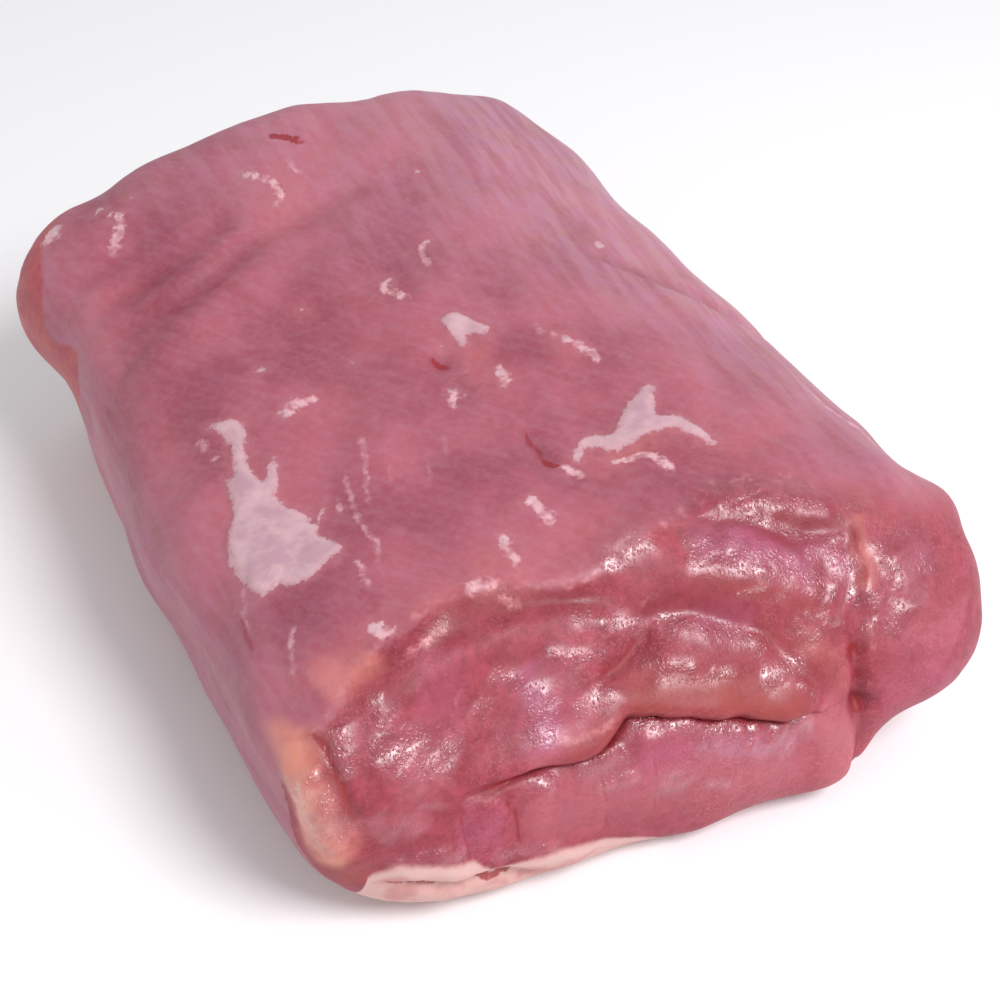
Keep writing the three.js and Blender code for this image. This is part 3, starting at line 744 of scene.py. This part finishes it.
def thin_lines(tables):
    """For each point: the distance to the nearest line, in mm, and half that line's width there."""
    nearest = np.full(len(P), 20.0)
    half = np.zeros(len(P))
    for rows, flat, shown in tables:
        for half_width, points in rows:
            distance, _, share = nearest_on(smooth_curve(points), flat)
            closer = shown & (distance < nearest)
            nearest[closer] = distance[closer]
            ends = smoothstep(share, -0.05, 0.2) * smoothstep(1 - share, -0.05, 0.2)
            half[closer] = (half_width * ends)[closer]
    return nearest, half * smoothstep(nearest, 3.5, 2.2)


up, forward = faces_up > 0.1, faces_drawing > 0.1
maps["mark_mm"], maps["mark_half"] = thin_lines([(MARKS, on_top, up), (THREADS, on_drawing, forward)])
maps["gash_mm"], maps["gash_half"] = thin_lines([(TOP_GASHES, on_top, up), (GASHES, on_drawing, forward)])
print(len(MARKS), "marks,", len(THREADS), "threads and", len(FLECKS), "flecks of fat")
print(len(GASHES + TOP_GASHES), "small red cuts")

# %% Coloured stretches of the folded end: half the width, the strength, and the line [x, t]
AMBER = [
    (5.5, 0.45, [(20, 41), (27, 35), (32, 26)]), (4.2, 1, [(-9, 36), (3, 34), (14, 29), (28, 23)]),
    (1.8, 0.7, [(10, 51), (21, 48), (29, 43), (37, 38)]), (3, 0.6, [(46, 58), (52, 55), (56, 50)]),
    (3, 1, [(-65, 27), (-63, 22), (-60, 18)]), (3, 0.4, [(43, 33), (43, 23)]),
    (2.2, 0.7, [(-22, 30), (-13, 31), (-7, 35)]), (5, 0.3, [(58, 54), (64, 50), (70, 46)]),
]
CREAM = [
    (3.8, 1, [(-65, 52), (-67, 44), (-67, 36), (-65, 29), (-62, 23)]),
    (1.8, 0.35, [(48, 54), (46, 46), (44, 39)]),
    (3.2, 0.08, [(-40, 60), (-25, 62), (-14, 61), (-3, 60), (8, 60)]),
    (2.6, 0.4, [(-60, 54), (-52, 56), (-46, 57)]), (2.4, 0.06, [(4, 62), (12, 61), (20, 63)]),
    (2.6, 0.15, [(30, 37), (34, 29), (35, 22)]),
]
# Lilac stretches are partly the meat's own tint and partly painted sheen, laid on the wet folds that mirror
# the lamp.
PURPLE_AND_SHEEN = [
    (3.2, 0.8, [(-23, 48), (-22, 40), (-24, 31)]), (4, 0.5, [(-43, 22), (-34, 20)]),
    (8, 0.3, [(41, 20), (60, 20)]), (4, 0.5, [(-9, 25), (6, 21)]),
    (2.4, 0.6, [(4, 23), (14, 19), (26, 15)]), (6, 0.3, [(-44, 50), (-34, 46)]),
    (4, 0.7, [(14, 60), (26, 54), (38, 46)]), (3, 0.5, [(10, 45), (22, 42)]),
    (3, 0.5, [(37, 53), (43, 43)]), (5, 0.4, [(52, 44), (60, 40)]),
]
# Deep red strokes are painted shade in the grooves, the seams, the slit and under the rim, with some of the
# meat's own darker red.
DEEP_RED_AND_SHADE = [
    (2.4, 0.75, [(-38, 54), (-34, 57), (-28, 59), (-22, 58), (-16, 57), (-11, 55), (-4, 54)]),
    (1.6, 0.6, [(-1, 44), (-6, 41), (-11, 41)]), (2.4, 0.8, [(28, 60), (36, 56), (41, 54), (47, 52)]),
    (1.6, 0.7, [(45, 54), (47, 48)]), (1.6, 0.6, [(17, 62), (27, 58), (31, 54), (34, 50), (37, 44)]),
    (2.8, 0.55, [(12, 46), (18, 44), (23, 42)]), (3.4, 0.5, [(-2, 50), (10, 49), (20, 46)]),
    (3.4, 0.3, [(2, 40), (12, 38), (20, 33)]),
    (1.5, 0.8, [(-24, 28.8), (-13.6, 28.1), (-7, 32), (1.6, 29.4), (11.4, 25.7), (28, 20)]),
    (1.8, 0.8, [(-63, 50), (-62, 43), (-61, 37), (-59, 31)]), (1.6, 0.6, [(39, 31), (39, 24)]),
    (1.8, 0.7, [(38, 20), (38, 16)]), (1.4, 0.4, [(-36, 40), (-38, 35), (-40, 29)]),
    (1.4, 0.35, [(-23, 28.5), (-33, 28), (-43, 27)]), (2, 0.4, [(51, 47), (51, 41), (50, 37)]),
    (3, 0.3, [(-56, 50), (-48, 51), (-42, 49)]), (3, 0.25, [(-30, 50), (-16, 49)]),
    (8, 0.35, [(52, 48), (58, 30)]),
]
PALE = [
    (8, 0.5, [(-34, 18), (-14, 19), (2, 16), (18, 12), (34, 8)]),
    (5, 0.75, [(28, 22), (34, 12), (34, 0)]), (7, 0.4, [(52, 34), (60, 26)]),
    (5, 0.3, [(-50, 38), (-42, 34)]), (2.5, 0.5, [(-28, 31), (-20, 33), (-12, 35)]),
]
for name, rows in {"pale": PALE, "amber": AMBER, "cream": CREAM, "purple_and_sheen": PURPLE_AND_SHEEN}.items():
    maps[name] = strokes(on_drawing, rows, faces_drawing)
# Painted shade: the deeper a fold, the darker red it is coloured, and the slit's gap is coloured dark red
# as well.
crease_shade = np.clip(-folds / 4 - 0.15, 0, 1)
maps["deep"] = np.clip(np.maximum(strokes(on_drawing, DEEP_RED_AND_SHADE, faces_drawing), crease_shade) + slit_gap * 1.2, 0, 1)
maps["wrinkled"] = wrinkled

# Painted shade in the furrows, the long crease and the pit of the top, and one broad darker stretch across
# its middle.
TOP_DEEP_RED_AND_SHADE = [
    (2.2, 0.5, [(-6.4, 2), (-5.4, -0.6), (-3, -1.6)]),
    (1.8, 0.35, [(38, 18), (47.5, 9), (55, 0), (64, -11)]),
    (3.2, 0.28, [(-64, 38.5), (-41, 42.7), (-24, 49.3), (-8, 53)]),
    (2.8, 0.24, [(-63, 49.7), (-54, 49.4), (-39, 53.8), (-25, 59)]),
    (2.4, 0.2, [(-64, 60), (-58, 59), (-47, 61)]), (5, 0.16, [(-22, 30), (-16, 12), (-10, -6)]),
]
maps["deep"] = np.maximum(maps["deep"], strokes(on_top, TOP_DEEP_RED_AND_SHADE, faces_up))
print("points in a deep red crease:", int((maps["deep"] > 0.5).sum()))

# %% Warm stretches of the top: centre, radii, strength
TOP_AMBER = [
    ((2.5, -1.5), (3, 3.6), 1), ((1, -10), (4, 5), 0.4), ((19.5, -10), (3.6, 6), 0.55),
    ((20, -41.5), (9, 3.2), 1), ((10, -46), (7, 4), 0.35), ((-20, -57), (4.5, 5), 0.7),
    ((-3, -58), (10, 4), 0.45), ((-19, 57), (5, 6), 0.45), ((-12, 63), (3, 6), 0.5),
    ((-52, -64), (8, 5), 0.4), ((-5, 22), (4, 4), 0.4), ((-28, -4), (5, 9), 0.25),
    ((34, -50), (10, 4), 0.5), ((-62, 20), (5, 26), 0.3), ((12, 66), (14, 10), 0.15),
    ((-34, -62), (8, 3), 0.5),
]
maps["amber"] = np.maximum(maps["amber"], blobs(on_top, TOP_AMBER) * faces_up)
maps["lobe"] = smoothstep(on_drawing[:, 0], 41, 47) * (P[:, 1] < -20)
print("warm places on the top:", len(TOP_AMBER))

# %% Silver skin, bare meat at the plain end, and the layer of fat underneath
CAP_EDGE_FRONT = [
    (-80, 2), (-66, 3), (-61, 12), (-59, 21), (-54, 23.5), (-48, 22), (-40, 18.5), (-37, 15), (-23, 14.5),
    (-14, 12), (-4, 7), (4, 1), (20, -5), (80, -5),
]
CAP_EDGE_BACK = [(-80, 22), (-60, 20), (-30, 12), (6, 10), (46, 14), (80, 12)]
CAP_DIPS_BY = 5
BARE_LOBE = [
    (46, 50), (57, 47), (66, 53), (77, 57.5), (96, 62), (112, 40), (100, 2), (60, 12), (52, 20), (44, 38),
]

x, y, z = P.T
share_back = np.clip((y + 90) / 180, 0, 1)
edge_in_front, edge_at_back = (np.interp(x, *zip(*edge)) for edge in (CAP_EDGE_FRONT, CAP_EDGE_BACK))
edge_height = edge_in_front * (1 - share_back) + edge_at_back * share_back
maps["cap_mm"] = edge_height - CAP_DIPS_BY * np.sin(math.pi * share_back) - z
# Painted sheen along with the silver skin: the skin's pale cover is laid thicker towards the left side, the
# right and the back, where those faces catch a sheen.
maps["veil_and_sheen"] = np.clip(
    0.08
    + 0.4 * smoothstep(-x, 55, 72)
    + 0.5 * smoothstep(x + 0.2 * y, 18, 62)
    + 0.4 * smoothstep(y + x, -5, 70),
    0, 1,
)
left_side = np.where(x < -55, signed_distance_inside(P[:, 1:], BARE_LOBE), -20)
plain_face = np.where(y > 60, (N[:, 1] - 0.75) * 25, -20)
maps["bare_mm"] = np.clip(np.maximum(left_side, plain_face), -20, 20)

# On the plain end the knife also went through the seams, where silver skin and fat show as pale lines.
PLAIN_SEAMS = [
    (0.9, 0.9, [(30, 66), (40, 44), (34, 20), (8, 9)]),
    (0.7, 0.8, [(-64, 44), (-48, 38), (-40, 24), (-46, 12)]), (0.5, 0.6, [(-20, 62), (-4, 56), (12, 60)]),
    (0.5, 0.5, [(48, 50), (58, 38), (54, 24)]),
]
PLAIN_RED = [
    (9, 0.5, [(52, 52), (58, 30)]), (8, 0.5, [(-58, 30), (-54, 18)]), (12, 0.25, [(-10, 40), (14, 34)]),
]
faces_plain = faces_back * (y > 60)
maps["cream"] = np.maximum(maps["cream"], strokes(on_plain_end, PLAIN_SEAMS, faces_plain))
maps["deep"] = np.maximum(maps["deep"], strokes(on_plain_end, PLAIN_RED, faces_plain))
print("maps:", ", ".join(maps))

for name, values in maps.items():
    attribute = mesh.attributes.new(name, "FLOAT", "POINT")
    attribute.data.foreach_set("value", values.astype(np.float32))

# %% [markdown]
# ## Building materials out of nodes
#
# A material here is a stack: lean meat first, then each tissue laid over it through a mask. A few short
# helpers keep that readable. They measure everything in millimetres of the meat itself, so a number such
# as 0.6 is the real width of a fibre.

# %% Node helpers
def linear(r, g, b):
    """A colour as it looks on a screen, 0 to 255, as the linear colour that a shader wants."""
    channels = [c / 255 for c in (r, g, b)]
    return (*((c / 12.92 if c <= 0.04045 else ((c + 0.055) / 1.055) ** 2.4) for c in channels), 1)


class Shader:
    """Short ways to add nodes to one tree. Any input may be a number, a colour or another node's output."""

    def __init__(self, tree):
        self.tree = tree

    def node(self, kind, inputs, output=0, **settings):
        node = self.tree.nodes.new(kind)
        for name, value in settings.items():
            setattr(node, name, value)
        for key, value in inputs.items():
            if isinstance(value, bpy.types.NodeSocket):
                self.tree.links.new(value, node.inputs[key])
            else:
                node.inputs[key].default_value = value
        return node.outputs[output]

    def count(self):
        return len(self.tree.nodes)

    def math(self, operation, a, b=0.0):
        return self.node("ShaderNodeMath", {0: a, 1: b}, operation=operation)

    def plus(self, a, b):
        return self.math("ADD", a, b)

    def times(self, a, b):
        return self.math("MULTIPLY", a, b)

    def away(self, a, middle=0.0):
        """How far a value is from the middle, either way."""
        return self.math("ABSOLUTE", self.plus(a, -middle))

    def step(self, value, low, high, out_low=0.0, out_high=1.0):
        """Turns softly from out_low to out_high as the value goes from low to high."""
        if low > high:
            low, high, out_low, out_high = high, low, out_high, out_low
        inputs = {0: value, 1: low, 2: high, 3: out_low, 4: out_high}
        return self.node("ShaderNodeMapRange", inputs, interpolation_type="SMOOTHSTEP")

    def mix(self, factor, a, b):
        return self.node("ShaderNodeMix", {0: factor, 6: a, 7: b}, 2, data_type="RGBA")

    def map(self, name):
        return self.node("ShaderNodeAttribute", {}, 2, attribute_name=name)

    def placed(self, size, seed, turn=(0, 0, 0)):
        """Coordinates in which one unit is this size in mm along each axis."""
        where = self.node("ShaderNodeTexCoord", {}, 3)
        turned = self.node("ShaderNodeMapping", {0: where, 2: turn}) if any(turn) else where
        scale = [1000 / s for s in (size if isinstance(size, tuple) else (size,) * 3)]
        moved = (seed * 7.3, seed * 3.1, seed * 5.7)  # another seed reads another part of the noise
        return self.node("ShaderNodeMapping", {0: turned, 1: moved, 3: scale})

    def noise(self, size, seed, detail=1.0, rough=0.5, turn=(0, 0, 0)):
        """Soft noise round 0.5."""
        where = self.placed(size, seed, turn)
        inputs = {"Vector": where, "Scale": 1.0, "Detail": detail, "Roughness": rough}
        return self.node("ShaderNodeTexNoise", inputs)


material = bpy.data.materials.new("raw_pork")
material.use_nodes = True
material.node_tree.nodes.clear()
s = Shader(material.node_tree)
print("colour check, mid grey:", round(linear(188, 188, 188)[0], 3))

# %% Lean meat under silver skin
LEAN_LIGHT, LEAN_DARK = linear(172, 87, 103), linear(144, 61, 80)
VEIL, VEIL_COOL = linear(190, 142, 150), linear(188, 140, 162)
SALMON = linear(184, 98, 100)

mottle = s.noise(26, 1, detail=1, rough=0.55)
patchy = s.noise(6, 2, detail=2, rough=0.6)
streaks = s.noise((3.2, 40, 3.2), 4, detail=2, rough=0.6)
hatch = s.noise((1.6, 9, 4), 5, turn=(0, 0, math.radians(-38)))
tone = s.plus(s.times(mottle, 0.75), s.times(patchy, 0.25))
color = s.mix(s.step(tone, 0.36, 0.64), LEAN_DARK, LEAN_LIGHT)
# Painted sheen: the veil map lays the pale silver skin on more thickly towards the sides and the back.
veil_and_sheen_cover = s.times(s.map("veil_and_sheen"), s.step(streaks, 0.35, 0.65, 0.45, 0.85))
color = s.mix(veil_and_sheen_cover, color, s.mix(s.step(patchy, 0.4, 0.6), VEIL, VEIL_COOL))
color = s.mix(s.times(s.step(hatch, 0.4, 0.7), 0.1), color, VEIL_COOL)
color = s.mix(s.times(s.map("amber"), s.step(patchy, 0.35, 0.6, 0.3, 0.9)), color, SALMON)
print("lean meat and silver skin take", s.count(), "nodes")

# %% The cut face and its rim
CUT_LIGHT, CUT_DARK = linear(162, 62, 80), linear(136, 42, 58)
CUT_PALE = linear(186, 104, 116)
ORANGE, LILAC, BLOOD_RED_AND_SHADE = linear(152, 62, 56), linear(172, 86, 122), linear(122, 18, 28)
GASH_RED_AND_SHADE = linear(146, 26, 32)
CREAM_ORANGE, COLLAGEN_PALE_AND_HIGHLIGHT = linear(218, 142, 124), linear(216, 150, 150)
WEB = linear(206, 136, 140)

torn = s.noise(1.7, 9, detail=2, rough=0.7)
ragged = s.plus(s.times(s.plus(patchy, torn), 2.6), -2.6)
below_rim = s.plus(s.map("cut_mm"), ragged)
on_cut = s.step(s.times(below_rim, s.map("crisp_rim")), -0.8, 0.8)
bundles = s.noise(2.2, 7, detail=1, rough=0.6)
cut_tone = s.plus(s.times(bundles, 0.3), s.plus(s.times(patchy, 0.4), s.times(torn, 0.3)))
cut_color = s.mix(s.step(cut_tone, 0.36, 0.66), CUT_DARK, CUT_LIGHT)
cut_color = s.mix(s.map("pale"), cut_color, CUT_PALE)
web = s.times(s.step(s.away(torn, 0.5), 0.03, 0.0), s.step(mottle, 0.35, 0.65, 0.08, 0.35))
cut_color = s.mix(web, cut_color, WEB)
cut_color = s.mix(s.step(s.away(bundles, 0.5), 0.02, 0.0, 0.0, 0.3), cut_color, BLOOD_RED_AND_SHADE)
cut_color = s.mix(s.times(s.map("amber"), s.step(bundles, 0.3, 0.7, 0.5, 0.95)), cut_color, ORANGE)
# Lilac: partly the meat's own tint, partly painted sheen on the wet folds.
cut_color = s.mix(s.times(s.map("purple_and_sheen"), s.step(patchy, 0.3, 0.7, 0.4, 0.9)), cut_color, LILAC)
color = s.mix(s.step(torn, 0.4, 0.7, 0.0, 0.12), color, VEIL)
color = s.mix(s.times(on_cut, s.step(s.map("lobe"), 0, 1, 1.0, 0.85)), color, cut_color)
color = s.mix(s.times(s.map("cream"), s.step(patchy, 0.3, 0.6, 0.6, 1.0)), color, CREAM_ORANGE)
# Painted shade: the deep map colours creases, grooves and the slit dark red, besides the meat's own darker
# red stretches.
color = s.mix(s.times(s.map("deep"), 0.75), color, BLOOD_RED_AND_SHADE)
off_lobe = s.step(s.map("lobe"), 1, 0)
# Painted highlight: a pale speckled line along the rim's edge, except on the lobe.
edge = s.times(s.step(s.away(below_rim, -0.6), 1.8, 0.2), off_lobe)
color = s.mix(s.times(s.times(edge, s.step(bundles, 0.5, 0.8)), 0.4), color, COLLAGEN_PALE_AND_HIGHLIGHT)
print("with the cut face,", s.count())

# %% Bare meat, the fat underneath, and the fat on the skin
BARE = linear(184, 84, 82)
CAP, CAP_PINK, CAP_EDGE_HIGHLIGHT = linear(206, 162, 156), linear(194, 138, 134), linear(208, 170, 166)
FAT, FAT_WHITE_AND_HIGHLIGHT, FAT_THIN = linear(184, 144, 156), linear(202, 166, 172), linear(180, 112, 120)

bare = s.step(s.plus(s.map("bare_mm"), s.times(ragged, 0.5)), -0.5, 0.8)
color = s.mix(s.times(bare, 0.9), color, s.mix(s.step(cut_tone, 0.35, 0.7), BARE, CUT_LIGHT))
cap_depth = s.plus(s.map("cap_mm"), s.times(ragged, 0.25))
cap = s.step(cap_depth, -0.6, 0.8)
cap_color = s.mix(s.step(patchy, 0.42, 0.62), CAP, CAP_PINK)
# Painted highlight: a paler band just below the upper edge of the fat underneath.
cap_color = s.mix(s.step(s.away(cap_depth, 1.8), 1.8, 0.2), cap_color, CAP_EDGE_HIGHLIGHT)
color = s.mix(cap, color, cap_color)

MARK = linear(222, 178, 184)
fat_depth = s.plus(s.map("fat_mm"), s.plus(s.times(torn, 2.4), -1.2))
color = s.mix(s.times(s.step(fat_depth, -2.6, 0.4), 0.4), color, FAT_THIN)
fat = s.times(s.step(fat_depth, -0.1, 0.4), s.step(fat_depth, 0, 1.8, 0.65, 1.0))
fat_tone = s.plus(s.times(patchy, 0.7), s.times(torn, 0.3))
color = s.mix(fat, color, s.mix(s.step(fat_tone, 0.36, 0.66), FAT, FAT_WHITE_AND_HIGHLIGHT))
# Painted highlight: a whiter line just inside the edge of each patch of fat.
color = s.mix(s.times(s.step(s.away(fat_depth, 1.0), 1.0, 0.0), 0.5), color, FAT_WHITE_AND_HIGHLIGHT)
mark_width = s.times(s.map("mark_half"), s.plus(s.times(torn, 4.2), -1.1))
mark_depth = s.plus(mark_width, s.times(s.map("mark_mm"), -1))
mark = s.times(s.step(mark_depth, -0.5, 0.5), s.step(s.map("mark_half"), 0, 0.8))
mark_color = s.mix(on_cut, MARK, COLLAGEN_PALE_AND_HIGHLIGHT)
color = s.mix(s.times(mark, s.step(bundles, 0.35, 0.65, 0.25, 0.8)), color, mark_color)

# Dark red lines: partly the red of torn meat, partly painted shade in the slit, seams, pits and cracks.
gash_width = s.times(s.map("gash_half"), s.plus(s.times(torn, 2.4), -0.1))
gash_red_and_shade = s.step(s.plus(gash_width, s.times(s.map("gash_mm"), -1)), -0.2, 0.25)
gash_red_and_shade = s.times(gash_red_and_shade, s.step(s.map("gash_half"), 0.05, 0.6, 0.0, 1.0))
color = s.mix(s.times(gash_red_and_shade, 0.85), color, GASH_RED_AND_SHADE)
print("with the fat and the small cuts,", s.count())

# %% [markdown]
# Wrinkled skin is wet and glitters, so one map raises its grain, lowers its roughness and lays a clear
# wet coat over it. Everything else stays satin.

# %% Fine relief in millimetres, and how wet each tissue is
grains = s.noise((0.55, 0.75, 0.75), 11, detail=1, rough=0.6)
height = s.times(s.plus(grains, s.away(grains, 0.5)), s.step(s.map("wrinkled"), 0, 0.9, 0.04, 0.24))
height = s.plus(height, s.times(torn, s.step(s.map("cut_mm"), -0.8, 0.8, 0.12, 0.05)))
normal = s.node("ShaderNodeBump", {"Strength": 1.0, "Distance": 0.001, "Height": height})

roughness = s.plus(s.step(on_cut, 0, 1, 0.52, 0.56), s.times(s.plus(patchy, -0.5), 0.2))
roughness = s.plus(roughness, s.times(s.map("wrinkled"), -0.2))
wet = s.times(s.map("wrinkled"), s.step(patchy, 0.3, 0.6, 0.5, 1.0))

shader = s.node(
    "ShaderNodeBsdfPrincipled",
    {
        "Base Color": color,
        "Roughness": roughness,
        "IOR": 1.4,
        "Specular IOR Level": 0.65,
        "Subsurface Weight": 0.5,
        "Subsurface Radius": (1.0, 0.32, 0.24),
        "Subsurface Scale": 0.003,
        "Coat Weight": wet,
        "Coat Roughness": 0.26,
        "Coat IOR": 1.8,
        "Normal": normal,
        "Coat Normal": normal,
    },
)
output = material.node_tree.nodes.new("ShaderNodeOutputMaterial")
material.node_tree.links.new(shader, output.inputs["Surface"])
mesh.materials.append(material)
print("the whole material,", s.count())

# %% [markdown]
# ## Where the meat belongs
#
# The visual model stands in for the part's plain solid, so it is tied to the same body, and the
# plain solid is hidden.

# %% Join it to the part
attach(meat, "root")
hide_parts("pork_loin")

# %% [markdown]
# ## The studio
#
# One soft lamp stands in front and to the right, high up. The wet folds mirror it, and how they do so
# gave its place. Everything else is an even pale surround, which fills the shadows.

# %% Floor, lamp and surround
floor_mesh = bpy.data.meshes.new("floor")
HALF_FLOOR = 3.0
corners = [(x * HALF_FLOOR, y * HALF_FLOOR, 0) for x, y in ((-1, -1), (1, -1), (1, 1), (-1, 1))]
floor_mesh.from_pydata(corners, [], [(0, 1, 2, 3)])
floor = add("floor", floor_mesh)
floor_material = bpy.data.materials.new("pale_floor")
floor_material.use_nodes = True
principled = floor_material.node_tree.nodes["Principled BSDF"]
principled.inputs["Base Color"].default_value = (0.93, 0.93, 0.93, 1)
principled.inputs["Roughness"].default_value = 0.9
principled.inputs["Specular IOR Level"].default_value = 0.1
floor_mesh.materials.append(floor_material)
floor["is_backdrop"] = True

LAMP_AZIMUTH, LAMP_ELEVATION, LAMP_DISTANCE = math.radians(22), math.radians(52), 0.8
LAMP_AIMS_AT = Vector((0, -0.03, 0.03))
LAMP_SIZE, LAMP_WATTS, LAMP_COLOR = 0.34, 5.2, (1.0, 0.97, 0.99)
lamp_data = bpy.data.lights.new("soft_lamp", "AREA")
lamp_data.shape = "DISK"
lamp_data.size = LAMP_SIZE
lamp_data.energy = LAMP_WATTS
lamp_data.color = LAMP_COLOR
lamp = add("soft_lamp", lamp_data)
towards = direction(LAMP_AZIMUTH, LAMP_ELEVATION)
lamp.location = LAMP_AIMS_AT + towards * LAMP_DISTANCE
lamp.rotation_euler = towards.to_track_quat("Z", "Y").to_euler()

SURROUND_COLOR, SURROUND_STRENGTH = (0.97, 0.98, 1.0, 1), 0.66
world = bpy.data.worlds.new("pale_surround")
world.use_nodes = True
world.node_tree.nodes["Background"].inputs[0].default_value = SURROUND_COLOR
world.node_tree.nodes["Background"].inputs[1].default_value = SURROUND_STRENGTH
bpy.context.scene.world = world
bpy.context.scene.view_settings.view_transform = "Standard"
print("lamp at", np.round(lamp.location, 2))

# %% Check the size
bpy.context.view_layer.update()
low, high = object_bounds()
print("the visual model measures, in mm:", np.round((np.array(high) - np.array(low)) * 1000, 2))
